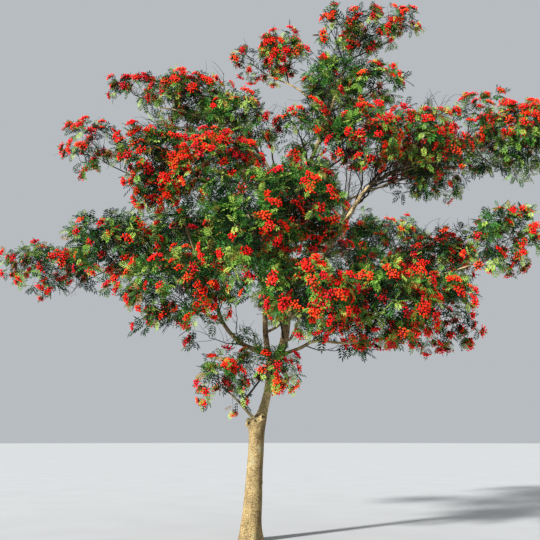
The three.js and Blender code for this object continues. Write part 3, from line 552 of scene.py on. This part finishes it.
def plan_mass(index, limbs):
    """The skeleton of a mass: its stem as (start, hub, thickness), its twigs and its sprays."""
    mass = MASSES[index]
    half = HALVES[index]
    random = Seeded(7919 * (index + 1))
    limb = limbs[mass.on]
    start = limb.axis(mass.at)
    hub = start + (CENTRES[index] - start) * STEM.depth - UP * STEM.sag * half[2]
    thickest = STEM.thickest * float(limb.radius(mass.at))
    thick = min(STEM.least + STEM.per_metre * half.mean(), thickest)
    way = start + (hub - start) * np.linspace(0, 1, STEM.enters_steps + 1)[:, None]
    entry = np.argmax(depth_in(way, index) < STEM.enters) / STEM.enters_steps
    along = unit(hub - start)
    area = half[0] * half[1] + half[1] * half[2] + half[2] * half[0]
    count = round(TWIG.per_square_metre * area)
    turn = random() * TURN
    twigs, sprays = [], []
    for k in range(count):
        rise = 1 - ((k + 0.5) / count) * (1 - TWIG.lowest)
        level = math.sqrt(1 - rise * rise)
        turned = turn + k * GOLDEN_TURN + TWIG.wander * random()
        heading = np.array((math.cos(turned) * level, math.sin(turned) * level, rise))
        share = between((entry, 1), 0.5 + 0.5 * heading @ along)
        foot = start + (hub - start) * share
        tip = pulled_in(foot, towards(index, heading, between(TWIG.reach, random())), index)
        if tip is None:
            continue
        across = unit(np.cross(heading, UP))
        upward = np.cross(across, heading)
        ends = [(SPRAY.places[1], SPRAY.lean, TURN * random())]
        spray_count = SPRAY.count + mass.extra
        for j in range(spray_count):
            around = TURN * (j + SPRAY.wander * random()) / spray_count
            at = between(SPRAY.places, (j + random()) / spray_count)
            ends.append((at, between(SPRAY.spread, random()), around))
        for at, spread, around in ends:
            if mass.kept < 1 and random() > mass.kept:
                continue
            leaning = unit(heading + spread * (math.cos(around) * across + math.sin(around) * upward))
            end = towards(index, leaning, between(SPRAY.reach, random()), LEAF_ROOM)
            droop = HANGING.get(mass.name, SPRAY.droop) if leaning[2] < 0 else SPRAY.droop
            sprays.append((len(twigs), at, end - UP * droop * half[2] * random()))
        twigs.append((foot, tip, TWIG.foot * thick * (1 - STEM.thins * share)))
    return (start, hub, thick), twigs, sprays


def grow_wood(limbs, rng):
    """The masses' and the boughs' twigs, and each spray's root, end, way outward and whether a limb bears it."""
    stems, twigs, sprays = [], [], []
    for index in range(len(MASSES)):
        stem, mass_twigs, mass_sprays = plan_mass(index, limbs)
        stems.append(stem)
        sprays += [(index, len(twigs) + twig, at, end) for twig, at, end in mass_sprays]
        twigs += mass_twigs

    starts, hubs, thick = columns(stems)
    shares = np.linspace(0, 1, STEM.points)[None]
    stem_radii = thick[:, None] * (1 - STEM.thins * shares)
    parts = [bars(arched(starts, hubs, np.zeros(3), shares), stem_radii, STEM.sides)]

    feet, tips, foot_radii = columns(twigs)
    bends = random_bends(TWIG.bend, len(feet), rng)
    shares = np.linspace(0, 1, TWIG.points)[None]
    shaken = rng.normal(0, TWIG.shake, (len(feet), TWIG.points, 3)) * arch(shares)
    radii = foot_radii[:, None] + (TWIG.tip - foot_radii[:, None]) * shares ** TWIG.taper
    parts.append(bars(arched(feet, tips, bends, shares) + shaken, radii, TWIG.sides))
    parts.append(bare_twigs((feet, tips, bends), BARE_TWIG.on_twig, rng)[0])

    mass_of, twig_of, at, aims = columns(sprays)
    roots = arched(feet[twig_of], tips[twig_of], bends[twig_of], at[:, None])[:, 0]
    kept = []
    for root, aim, index in zip(roots, aims, mass_of):
        end = pulled_in(root, aim, index)
        if end is not None and np.linalg.norm(end - root) > SPRAY.least:
            kept.append((root, end, index))
    roots, ends, mass_of = columns(kept)
    outward = unit((ends - CENTRES[mass_of]) / HALVES[mass_of])
    branches, side_roots, side_ends = side_branches(limbs, rng)
    parts += [*branches, *side_boughs(limbs, rng)]
    return (
        parts,
        np.vstack((roots, side_roots)),
        np.vstack((ends, side_ends)),
        np.vstack((outward, unit(side_ends - side_roots))),
        np.arange(len(roots) + len(side_roots)) >= len(roots),
    )


def side_branches(limbs, rng):
    """Fine branches along the boughs as bars, and where each leafy spray that forks from them runs."""
    branches = []
    for limb in LIMBS:
        grown = limbs[limb.name]
        close = "_back_" in limb.name or limb.name in CLOSE_BRANCHES
        apart = SIDE_BRANCH.apart_close if close else SIDE_BRANCH.apart
        bare_share = SIDE_BRANCH.from_share_low if limb.name in LOW_BRANCHED else SIDE_BRANCH.from_share
        leafy_count = max(1, int(grown.length * (1 - bare_share) / apart))
        count = leafy_count + BARE_BRANCHES.get(limb.name, 0)
        bearing = rng.permutation(count) < leafy_count
        turn = rng.uniform(0, TURN)
        for k in range(count):
            share = between((bare_share, 1), (k + rng.random()) / count)
            foot = grown.axis(share)
            ahead, behind = min(share + SIDE_BRANCH.slope_over, 1), share - SIDE_BRANCH.slope_over
            along = unit(grown.axis(ahead) - grown.axis(behind))
            aside = level_across(along)
            above = np.cross(aside, along)
            around = turn + k * GOLDEN_TURN
            heading = math.cos(around) * aside + math.sin(around) * above
            heading = unit(heading + SIDE_BRANCH.along * along + SIDE_BRANCH.rise * UP)
            tip = foot + heading * rng.uniform(*SIDE_BRANCH.length)
            if within_crown(foot) and within_crown(tip):
                branches.append((foot, tip, bearing[k]))
    feet, tips, leafy = columns(branches)
    twigs = feet, tips, random_bends(SIDE_BRANCH.bend, len(feet), rng)
    wood = [twig_bars(twigs, SIDE_BRANCH.bar, rng)[0], bare_twigs(twigs, BARE_TWIG.on_branch, rng)[0]]

    along = unit(tips - feet)
    aside = level_across(along)
    roots, ends = [], []
    for j, share in enumerate(FORK.places):
        place = np.minimum(share + rng.uniform(-FORK.stray, FORK.stray, (len(feet), 1)), 1)
        root = arched(*twigs, place)[:, 0]
        beside = FORK.ahead if j % 2 else -FORK.ahead
        heading = FORK.ahead * along + beside * aside + FORK.up * UP + rng.normal(0, FORK.random, along.shape)
        end = root + unit(heading) * rng.uniform(*FORK.length, (len(feet), 1))
        kept = leafy & np.array([within_crown(point) for point in end])
        roots.append(root[kept])
        ends.append(end[kept])
    return wood, np.concatenate(roots), np.concatenate(ends)


def bare_twigs(branches, each, rng):
    """Fine leafless twigs that fork from arched branches, each branch with as many, as bars and as twigs."""
    feet, tips, bends = branches
    branch = np.repeat(np.arange(len(feet)), each)
    share = rng.uniform(BARE_TWIG.first, 1, (len(branch), 1))
    root = arched(feet[branch], tips[branch], bends[branch], share)[:, 0]
    along = unit(tips - feet)[branch]
    sideways = unit_across(rng.normal(0, 1, along.shape), along)
    heading = unit(along + BARE_TWIG.aside * sideways + BARE_TWIG.up * UP)
    end = root + heading * rng.uniform(*BARE_TWIG.length, (len(branch), 1))
    twigs = root, end, random_bends(BARE_TWIG.bend, len(branch), rng)
    return twig_bars(twigs, BARE_TWIG.bar, rng)[0], twigs


def side_boughs(limbs, rng):
    """Long bare boughs that arch out beside the limbs they leave, with twigs and finer twigs on those, as bars."""
    boughs = []
    for name, count, ends in SIDE_BOUGHS:
        for k in range(count):
            share = between(ends, (k + rng.random()) / count)
            foot = limbs[name].axis(share)
            along = unit(limbs[name].axis(share + SIDE_BOUGH.slope_over) - foot)
            sideways = rng.normal(0, 1, 3)
            sideways = unit(sideways - (sideways @ along) * along)
            tip = foot + unit(along + SIDE_BOUGH.aside * sideways) * rng.uniform(*SIDE_BOUGH.length)
            if within_crown(tip):
                boughs.append((foot, tip))
    feet, tips = columns(boughs)
    boughs = feet, tips, random_bends(SIDE_BOUGH.bend, len(feet), rng)
    wood, _ = twig_bars(boughs, SIDE_BOUGH.bar, rng)
    twig_wood, twigs = bare_twigs(boughs, BARE_TWIG.on_bough, rng)
    return wood, twig_wood, bare_twigs(twigs, BARE_TWIG.on_bare_twig, rng)[0]


def within_crown(point):
    """Whether a point lies between the crown's lowest sprays and its crest, and not far outside every mass."""
    level = SIDE_BRANCH.lowest < point[2] < CENTRES[:, 2].max()
    return level and depth_in(point).min() < SIDE_BRANCH.furthest and not in_opening(point)


def clear_of_limbs(points, limbs):
    """Which points lie outside every limb by a margin."""
    clear = np.ones(len(points), bool)
    for limb in limbs.values():
        for share in np.linspace(0, 1, SHOOT.limb_samples):
            gap = np.linalg.norm(points - limb.axis(share), axis=1) - float(limb.radius(share))
            clear &= gap > SHOOT.clear_of_limbs
    return clear


def grow_shoots(roots, ends, outward, limbs, rng):
    """Shoots along each spray: their wood, tips and headings, the spray that each is on and how far along it."""
    twigs = roots, ends, random_bends(SPRAY.bend, len(roots), rng)
    spray_wood, paths = twig_bars(twigs, SPRAY.bar, rng)
    lengths = np.linalg.norm(ends - roots, axis=1)
    first = SHOOT.first
    ahead, aside, out, up, stray = SHOOT.weights
    shoots = []
    for i, length in enumerate(lengths):
        along = unit(ends[i] - roots[i])
        across = level_across(along)
        laterals = int(length * (1 - first) / SHOOT.apart + rng.random())
        for k in range(laterals):
            share = first + (1 - first) * (k + rng.uniform(*SHOOT.places)) / laterals
            foot = arched(*(part[i : i + 1] for part in twigs), np.array([[share]]))[0, 0]
            hand = 1 if (i + k) % 2 else -1
            heading = ahead * along + aside * hand * across + out * outward[i] + up * UP + rng.normal(0, stray, 3)
            shoots.append((foot, foot + unit(heading) * rng.uniform(*SHOOT.length), i, share))
        shoots.append((paths[i, -2], ends[i], i, 1))
    feet, tips, sprays, places = columns(shoots)
    kept = clear_of_limbs(tips, limbs) & ~in_opening(tips)
    feet, tips, sprays, places = feet[kept], tips[kept], sprays[kept], places[kept]
    lateral = np.linalg.norm(tips - ends[sprays], axis=1) > 1e-6
    shoot_wood, _ = twig_bars((feet[lateral], tips[lateral], SHOOT.rise * UP), SHOOT.bar, rng)
    return [spray_wood, shoot_wood], tips, unit(tips - feet), sprays, places


def leaf_template(rng):
    """A pinnate leaf a unit long: points as (along, across, up), and triangles. Leaflets are folded kites."""
    leaflets = []
    for k, place in enumerate(np.linspace(*LEAFLETS.places)):
        size = LEAFLETS.length * (1 - LEAFLETS.shorter * (k - LEAFLETS.longest) ** 2)
        for hand in (-1, 1):
            turned = hand * rng.uniform(*LEAFLETS.angle)
            leaflets.append((place, turned, size * rng.uniform(*LEAFLETS.sizes), LEAFLETS.width * size))
    place, stray, length, width = LEAFLETS.end
    leaflets.append((place, rng.uniform(-stray, stray), length, width))
    points = []
    for place, turned, length, width in leaflets:
        base = np.array((place, 0, 0))
        heading = np.array((math.cos(turned), math.sin(turned), 0))
        beside = 0.5 * width * np.array((-heading[1], heading[0], 0))
        widest = base + LEAFLETS.widest * length * heading
        raised = UP * LEAFLETS.fold * width
        tip = base + length * heading - UP * LEAFLETS.sag * length
        points += [base, widest - beside + raised, tip, widest + beside + raised]
    faces = repeated(np.array(((0, 1, 2), (0, 2, 3))), len(leaflets), 4)
    length, half = LEAFLETS.midrib
    midrib = np.arange(3) + len(points)
    return np.array([*points, (0, -half, 0), (length, 0, 0), (0, half, 0)]), np.vstack((faces, midrib))


def leaf_meshes(tips, headings, sizes, fruiting, rng):
    """Leaves round each shoot's tip: vertices and faces by leaf, and the shoot that each leaf is on."""
    counts = rng.integers(*LEAF.on_shoot, len(tips)) - fruiting
    shoot = np.repeat(np.arange(len(tips)), counts)
    place = np.concatenate([np.arange(count) for count in counts])
    total = len(shoot)
    axis = headings[shoot]
    aside = level_across(axis)
    turn = rng.uniform(0, TURN, len(tips))[shoot] + place * GOLDEN_TURN
    angle = between(LEAF.angle, place / counts[shoot]) + rng.normal(0, LEAF.stray, total)
    along = unit(turned_to(angle, axis, turned_to(turn, aside, np.cross(axis, aside))))
    up, ahead, stray = LEAF.facing
    facing = unit_across(UP * up + axis * ahead + rng.normal(0, stray, (total, 3)), along)
    across = np.cross(facing, along)
    length = rng.uniform(*LEAF.length, total) * sizes[shoot]
    droop = rng.uniform(*LEAF.droop, total)
    origin = tips[shoot] - axis * (place * LEAF.apart)[:, None]

    shapes, faces = zip(*(leaf_template(rng) for _ in range(LEAF.kinds)))
    points = np.stack(shapes)[rng.integers(0, len(shapes), total)]
    x, y, z = points[..., 0, None], points[..., 1, None], points[..., 2, None]
    length = length[:, None, None]
    vertices = origin[:, None] + length * (x * along[:, None] + y * across[:, None] + z * facing[:, None])
    vertices -= UP * length * droop[:, None, None] * (x**2 + LEAF.droop_aside * y**2)
    return vertices, faces[0], shoot


def fruit_share(tips):
    """The share of shoots that bear fruit at each tip, by the nearest mass and the height in it."""
    away = (tips[:, None] - CENTRES) / HALVES
    nearest = (away**2).sum(axis=2).argmin(axis=1)
    height = np.clip(0.5 + FRUITING.grading * away[np.arange(len(tips)), nearest, 2], 0, 1)
    share = between(np.array([mass.fruit for mass in MASSES])[nearest].T, height)
    for spot in FRUIT_SPOTS:
        centre, half, factor = spot[:3], spot[3:6], spot[6]
        within = (((tips - centre) / half) ** 2).sum(axis=1) < 1
        share = np.where(within, share * factor, share)
    return share


def corymb_meshes(tips, headings, outward, rng):
    """Heads of berries: the berries by head, the shaded hearts of the heads, and slim stalks from the shoot."""
    count, berries, sides = len(tips), CORYMB.berries, CORYMB.heart_sides
    ahead, out, up, stray = CORYMB.weights
    axis = unit(ahead * headings + out * outward + up * UP + rng.normal(0, stray, (count, 3)))
    radius = rng.uniform(*CORYMB.radius, (count, 1, 1))
    oval = rng.uniform(*CORYMB.oval, (count, 1))
    aside = unit(np.cross(axis, unit(rng.normal(0, 1, (count, 3)))))
    above = (np.cross(axis, aside) / oval)[:, None]
    aside = (aside * oval)[:, None]
    middle = tips[:, None] + axis[:, None] * CORYMB.stalk
    k = np.arange(berries)
    away = np.sqrt((k + 0.5) / berries)
    turn = k * GOLDEN_TURN + rng.uniform(0, TURN, (count, 1))
    disc = away[:, None] * turned_to(turn, aside, above)
    dome = (CORYMB.dome * (1 - away**2))[:, None] * axis[:, None]
    berry = middle + radius * (disc + dome)
    berry += rng.normal(0, CORYMB.shake, berry.shape)
    size = CORYMB.berry * rng.uniform(*CORYMB.sizes, (count, berries, 1, 1))
    first = unit(rng.normal(0, 1, berry.shape))
    second = unit(np.cross(first, rng.normal(0, 1, berry.shape)))
    turned = np.stack((first, second, np.cross(first, second)), axis=2)
    vertices = (berry[:, :, None] + size * (BERRY @ turned)).reshape(count, -1, 3)

    turn = round_turns(sides) + rng.uniform(0, TURN, (count, 1))
    rim = CORYMB.heart * turned_to(turn, aside, above)
    ends = np.array(CORYMB.heart_dome)[:, None] * axis[:, None]
    heart = middle + radius * np.concatenate((rim, ends), axis=1)
    side = np.arange(sides)
    around = (side + 1) % sides
    heart_faces = np.concatenate((
        np.stack((around, side, np.full(sides, sides)), axis=1),
        np.stack((side, around, np.full(sides, sides + 1)), axis=1),
    ))

    held = berry[:, :: berries // CORYMB.stalks]
    beside = CORYMB.stalk_half * level_across(held - tips[:, None])
    stalks = np.stack((tips[:, None] - beside, tips[:, None] + beside, held), axis=2).reshape(-1, 3)
    return (
        (vertices, repeated(BERRY_FACES, berries, len(BERRY))),
        (heart.reshape(-1, 3), repeated(heart_faces, count, sides + 2)),
        (stalks, np.arange(len(stalks)).reshape(-1, 3)),
    )


def dealt(points, tones, rng):
    """A tone's number for each point, by the shares of the tones at its place between west and east."""
    place = np.clip((points[:, 0] - WEST_END) / (EAST_END - WEST_END), 0, 1)[:, None]
    _, west, east = zip(*tones.values())
    upper = np.cumsum(between((np.array(west), np.array(east)), place), axis=1)
    return (rng.random((len(points), 1)) * upper[:, -1:] > upper).sum(axis=1)


def pieces_by_tone(kind, paint, vertices, faces, tone, tones, smooth=False):
    """One object for each tone, from the items (leaves or heads) that were dealt it."""
    made = []
    for number, (name, (colour, _, _)) in enumerate(tones.items()):
        material = dealt_colour(f"{paint}_{name}", colour, **PAINT[paint])
        chosen = vertices[tone == number]
        item_faces = repeated(faces, len(chosen), vertices.shape[1])
        made.append(mesh_object(f"{kind}_{name}", chosen.reshape(-1, 3), item_faces, material, smooth))
    return made


def angle_apart(first, second):
    return np.arctan2(np.sin(first - second), np.cos(first - second))


def knob_swelling(heading, height):
    """How far the knobs stand out from the trunk at a heading and a height."""
    return sum(
        out * bell(angle_apart(heading, turned) / wide, (height - level) / tall)
        for turned, level, out, tall, wide in KNOBS
    )


def hollow_place(turned, level):
    """Where a hollow lies on the trunk's rim."""
    heights = np.array([station[0] for station in TRUNK_STATIONS])
    lean, _, _, radius = Trunk().stations(np.interp(level, heights, np.linspace(0, 1, len(heights))))[0]
    radius += knob_swelling(turned, level)
    return lean + radius * math.cos(turned), radius * math.sin(turned), level


def trunk_mesh():
    """The trunk's round bar with its flare, knobs, hollows, scar, stub and bark relief, closed over the fork."""
    lean, _, height, radius = Trunk().stations(np.linspace(0, 1, TRUNK_RINGS)).T
    height = np.maximum(height, 0)
    dome = np.linspace(0, math.pi / 2, CROTCH.rings + 1)[1:]
    lean = np.append(lean, np.full(len(dome), lean[-1]))[:, None]
    height = np.append(height, height[-1] + CROTCH.height * np.sin(dome))[:, None]
    radius = np.append(radius, radius[-1] * np.cos(dome) + CLOSED)[:, None]
    heading = round_turns(TRUNK_SIDES)

    flare = FLARE.depth * bell(height / FLARE.height)
    knob = knob_swelling(heading, height)
    rim = radius * (1 + flare * np.cos(FLARE.lobes * heading)) + knob
    for turned, level, wide, tall, depth, _ in HOLLOWS:
        rim = rim - depth * bell(angle_apart(heading, turned) * radius / wide, (height - level) / tall)
    away = np.hypot((heading + TURN - SCAR.heading) % TURN * radius, height - SCAR.height)
    rim = rim + SCAR.out * (np.exp(-((away / SCAR.size - 1) ** 2) * SCAR.sharp) - bell(away / SCAR.pit))

    points = np.empty((*rim.shape, 3))
    points[..., 0], points[..., 1], points[..., 2] = lean + rim * np.cos(heading), rim * np.sin(heading), height
    points = points.reshape(-1, 3)
    strength = np.broadcast_to(np.minimum(radius / BARK_RELIEF.full_from, 1), rim.shape).reshape(-1)
    broad = lumps(points * (1, 1, 0.35), 6)
    fine = lumps(points * (1, 1, 0.8), 45, 2)
    burr = lumps(points, 24, 2) * np.minimum(knob / BARK_RELIEF.full_on_knobs, 1).reshape(-1)
    relief = strength * (BARK_RELIEF.broad * broad + BARK_RELIEF.fine * fine) + BARK_RELIEF.knobs * burr
    around = np.tile(np.stack((np.cos(heading), np.sin(heading)), axis=1), (len(height), 1))
    points[:, :2] += relief[:, None] * around

    stub_path = np.linspace(STUB.foot, STUB.tip, STUB.rings + 1)
    stub_radii = np.append(np.linspace(*STUB.radii, STUB.rings), CLOSED)
    stub_path[-1] = stub_path[-2] + STUB.cap * (stub_path[-1] - stub_path[-2])
    stub, stub_faces = bars(stub_path[None], stub_radii[None], STUB.sides)
    depth, scale, octaves = STUB.relief
    stub = stub + depth * lumps(stub, scale, octaves)[:, None]
    return joined(((points, ring_faces(len(height), TRUNK_SIDES)), (stub, stub_faces)))


def limb_mesh(limb):
    """A limb as a round bar with relief; its last ring is almost a point."""
    shares = np.linspace(0, 1, max(LIMB_RINGS.fewest, round(limb.length / LIMB_RINGS.apart)))
    path = smooth_curve(limb.points, shares)
    radii = limb.radius(shares)
    radii[-1] = LIMB_RINGS.last
    sides = LIMB_SIDES.thick if limb.foot > LIMB_SIDES.thick_from else LIMB_SIDES.thin
    vertices, faces = bars(path[None], radii[None], sides)
    centres = np.repeat(path, sides, axis=0)
    relief = sum(depth * lumps(vertices, scale, octaves) for depth, scale, octaves in LIMB_RELIEF)
    return centres + (vertices - centres) * (1 + relief[:, None]), faces


def plug(tree, source, socket):
    """Sets a socket to a plain value, or links another node's output to it."""
    if isinstance(source, bpy.types.NodeSocket):
        tree.links.new(source, socket)
    else:
        socket.default_value = source


def add_node(tree, kind, inputs=None, **settings):
    """A shader node; each input is a plain value or another node's output."""
    node = tree.nodes.new(f"ShaderNode{kind}")
    for name, value in settings.items():
        setattr(node, name, value)
    for name, source in (inputs or {}).items():
        plug(tree, source, node.inputs[name])
    return node


def shader_for(name, roughness, specular):
    material = bpy.data.materials.new(name)
    material.use_nodes = True
    tree = material.node_tree
    tree.nodes.clear()
    shader = add_node(tree, "BsdfPrincipled", {"Roughness": roughness, "Specular IOR Level": specular})
    add_node(tree, "OutputMaterial", {"Surface": shader.outputs["BSDF"]})
    return material, tree, shader


def object_place(tree):
    return add_node(tree, "TexCoord").outputs["Object"]


def texture(tree, scale, stretch=(1, 1, 1), kind="TexNoise", **details):
    """A texture fixed to the object; scale is in cycles a metre."""
    mapping = add_node(tree, "Mapping", {"Vector": object_place(tree), "Scale": stretch})
    return add_node(tree, kind, {"Vector": mapping.outputs["Vector"], "Scale": scale, **details})


def ramp(tree, source, stops):
    """A colour ramp on a value; stops are (place, linear colour)."""
    node = add_node(tree, "ValToRGB", {"Fac": source})
    elements = node.color_ramp.elements
    while len(elements) < len(stops):
        elements.new(0.5)
    for element, (place, colour) in zip(elements, stops):
        element.position = place
        element.color = (*colour, 1)
    return node.outputs["Color"]


def mixed(tree, first, second, factor=1, blend="MULTIPLY"):
    inputs = {"Factor": factor, "A": first, "B": second}
    return add_node(tree, "Mix", inputs, data_type="RGBA", blend_type=blend).outputs["Result"]


def vector_maths(tree, operation, *inputs):
    node = add_node(tree, "VectorMath", operation=operation)
    for socket, source in zip(node.inputs, inputs):
        plug(tree, source, socket)
    return node.outputs


def bark(name, hollow_shade=(), painted_light_span=None):
    """Smooth bark: broad mottling, dark specks, level dashes of lenticels, painted shade round the hollows and
    patches of lichen. Above the given heights it turns paler, as painted light on the upper trunk."""
    pale, middle, dark, lichen = BARKS[name]
    material, tree, shader = shader_for(name, 0.82, 0.25)

    def shaded(base, source, *stops):
        return mixed(tree, base, ramp(tree, source, stops))

    broad = texture(tree, 7, (1, 1, 0.6), Detail=5).outputs["Fac"]
    base = ramp(tree, broad, ((0.32, dark), (0.5, middle), (0.68, pale)))
    specks = texture(tree, 90, (1, 1, 0.8), Detail=3).outputs["Fac"]
    base = shaded(base, specks, (0.38, (0.24, 0.20, 0.15)), (0.51, (1, 1, 0.97)), (0.64, (1.45, 1.45, 1.42)))
    dashes = texture(tree, 28, (1, 1, 4.5), Detail=2).outputs["Fac"]
    base = shaded(base, dashes, (0.36, (0.42, 0.37, 0.30)), (0.44, WHITE))
    # painted shade: the bark darkens round each hollow
    for centre, size in hollow_shade:
        ragged = texture(tree, 45, Detail=3).outputs["Color"]
        shift = vector_maths(tree, "MULTIPLY_ADD", ragged, (1.6 * size,) * 3, (-0.8 * size,) * 3)
        place = vector_maths(tree, "ADD", object_place(tree), shift["Vector"])
        away = vector_maths(tree, "DISTANCE", place["Vector"], centre)
        base = shaded(base, away["Value"], (0.5 * size, (0.08, 0.07, 0.06)), (size, WHITE))
    # painted light: the upper trunk's bark is paler where the crown's shade falls on it
    if painted_light_span:
        height = add_node(tree, "SeparateXYZ", {"Vector": object_place(tree)}).outputs["Z"]
        ends = {"Value": height, "From Min": painted_light_span[0], "From Max": painted_light_span[1]}
        base = shaded(base, add_node(tree, "MapRange", ends).outputs["Result"], (0, WHITE), (1, PAINTED_LIGHT_ON_BARK))
    patches = texture(tree, 4, Detail=6).outputs["Fac"]
    cover = ramp(tree, patches, ((0.56, BLACK), (0.68, (0.55, 0.55, 0.55))))
    plug(tree, mixed(tree, base, (*lichen, 1), cover, "MIX"), shader.inputs["Base Color"])
    bump = add_node(tree, "Bump", {"Strength": 0.8, "Distance": 0.005, "Height": dashes})
    plug(tree, bump.outputs["Normal"], shader.inputs["Normal"])
    return material


def mottled(name, roughness, specular, stops, scale, kind="TexNoise", output="Fac", **details):
    """A material whose base colour runs over the stops by one texture, and its shader."""
    material, tree, shader = shader_for(name, roughness, specular)
    source = texture(tree, scale, kind=kind, **details).outputs[output]
    plug(tree, ramp(tree, source, stops), shader.inputs["Base Color"])
    return material, shader


def dealt_colour(name, colour, roughness, spread, scale, specular=0.4, painted_glow=0.0):
    """A plain base colour with a fine mottling round it, for leaves and fruit."""
    low = tuple(channel * (1 - spread) for channel in colour)
    high = tuple(min(1, channel * (1 + spread)) for channel in colour)
    material, shader = mottled(name, roughness, specular, ((0.35, low), (0.65, high)), scale, Detail=2)
    # painted light: the colour glows a little by itself, as if lit through
    shader.inputs["Emission Color"].default_value = (*colour, 1)
    shader.inputs["Emission Strength"].default_value = painted_glow
    return material


def packed_berries(name):
    """Berries seen between others: round cells of shaded red with painted shade in the gaps."""
    stops = (0.35, SHADED_BERRY), (0.62, PAINTED_SHADE_BETWEEN_BERRIES)
    return mottled(name, 0.5, 0.2, stops, 1 / BERRY_CELL, "TexVoronoi", "Distance")[0]


def dress(obj, slot, *nodes):
    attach(obj, "root")
    if nodes:
        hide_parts(*nodes)


def dress_limbs(limbs):
    # painted shade spots round the hollows
    hollow_shade = [(hollow_place(turned, level), spot) for turned, level, _, _, _, spot in HOLLOWS]
    # the upper trunk's bark is painted paler, as painted light
    trunk_bark = bark("trunk_bark", hollow_shade, PAINTED_LIGHT_HEIGHTS)
    painted_light_bark, bough_bark = bark("painted_light_bark"), bark("bough_bark")
    dress(mesh_object("bark_trunk", *trunk_mesh(), trunk_bark, True), "trunk_bark", "trunk")
    for limb in LIMBS:
        # the low bough's paler bark is painted light
        material = painted_light_bark if limb.name == "bough_low_west" else bough_bark
        obj = mesh_object(f"bark_{limb.name}", *limb_mesh(limbs[limb.name]), material, True)
        dress(obj, "bough_bark", limb.name)


def build_tree():
    rng = np.random.default_rng(20)
    limbs = grow_limbs()
    dress_limbs(limbs)

    masses = [f"mass_{mass.name}" for mass in MASSES]
    wood, roots, ends, outward, on_limb = grow_wood(limbs, rng)
    fine_wood, tips, headings, spray, share = grow_shoots(roots, ends, outward, limbs, rng)
    inner_on_limb = on_limb[spray] & (rng.random(len(tips)) < SHOOT.inner_on_limbs)
    inner = (share < SHOOT.inner_below) | inner_on_limb
    twigs = mesh_object("twigs", *joined(wood + fine_wood), bark("twig_bark"), True)
    dress(twigs, "bough_bark", *masses)

    heavy = rng.random(len(roots)) < FRUITING.heavy_sprays
    chance = fruit_share(tips) * np.where(heavy[spray], FRUITING.heavy, FRUITING.light)
    fruiting = rng.random(len(tips)) < chance
    sizes = np.where(fruiting, LEAF.beside_fruit, LEAF.elsewhere) * np.where(inner, LEAF.inner, 1)
    leaves, leaf_faces, shoot = leaf_meshes(tips, headings, sizes, fruiting, rng)
    inner_shade_tone = rng.random(len(tips)) < LEAF.inner_mid  # tone 0 or 1: deep or mid, as painted shade on the inner shoots
    shoot_tone = np.where(inner, inner_shade_tone, dealt(tips, LEAF_TONES, rng))
    own_tone = (rng.random(len(leaves)) < LEAF.own_tone) & ~inner[shoot]
    leaf_tone = np.where(own_tone, dealt(tips[shoot], LEAF_TONES, rng), shoot_tone[shoot])
    made = pieces_by_tone("leaves", "leaf", leaves, leaf_faces, leaf_tone, LEAF_TONES)

    heads, hearts, stalks = corymb_meshes(tips[fruiting], headings[fruiting], outward[spray[fruiting]], rng)
    head_tone = dealt(tips[fruiting], BERRY_TONES, rng)
    made += pieces_by_tone("berries", "berry", *heads, head_tone, BERRY_TONES, True)
    made.append(mesh_object("berries_shaded", *hearts, packed_berries("berry_shaded"), True))
    stalk_bark = dealt_colour("fruit_stalk", STALK_COLOUR, **PAINT["stalk"])
    made.append(mesh_object("fruit_stalks", *stalks, stalk_bark))
    for obj in made:
        dress(obj, "foliage", *masses)


def lay_floor():
    turns = round_turns(FLOOR.sides)
    rim = FLOOR.radius * np.stack((np.cos(turns), np.sin(turns), np.zeros(len(turns))), axis=1)
    floor_paint, _ = mottled("floor_paint", 0.9, 0.1, FLOOR.colours, 0.8, Detail=2)
    mesh_object("floor", rim, [list(range(len(rim)))], floor_paint)


def light_scene():
    world = bpy.data.worlds.new("studio")
    bpy.context.scene.world = world
    world.use_nodes = True
    background = world.node_tree.nodes["Background"]
    for name, value in SKY.items():
        background.inputs[name].default_value = value
    key = placed("key", bpy.data.lights.new("key", "SUN"), **SUN)
    key.rotation_euler = Vector(SUN_HEADING).to_track_quat("-Z", "Y").to_euler()


def place_camera():
    camera = placed("camera", bpy.data.cameras.new("camera"), **CAMERA)
    camera.location = CAMERA_PLACE
    camera.rotation_euler = (math.radians(90 + CAMERA_TILT), 0, 0)
    bpy.context.scene.camera = camera


bpy.context.scene.view_settings.view_transform = "Standard"
place_camera()
light_scene()
lay_floor()
build_tree()
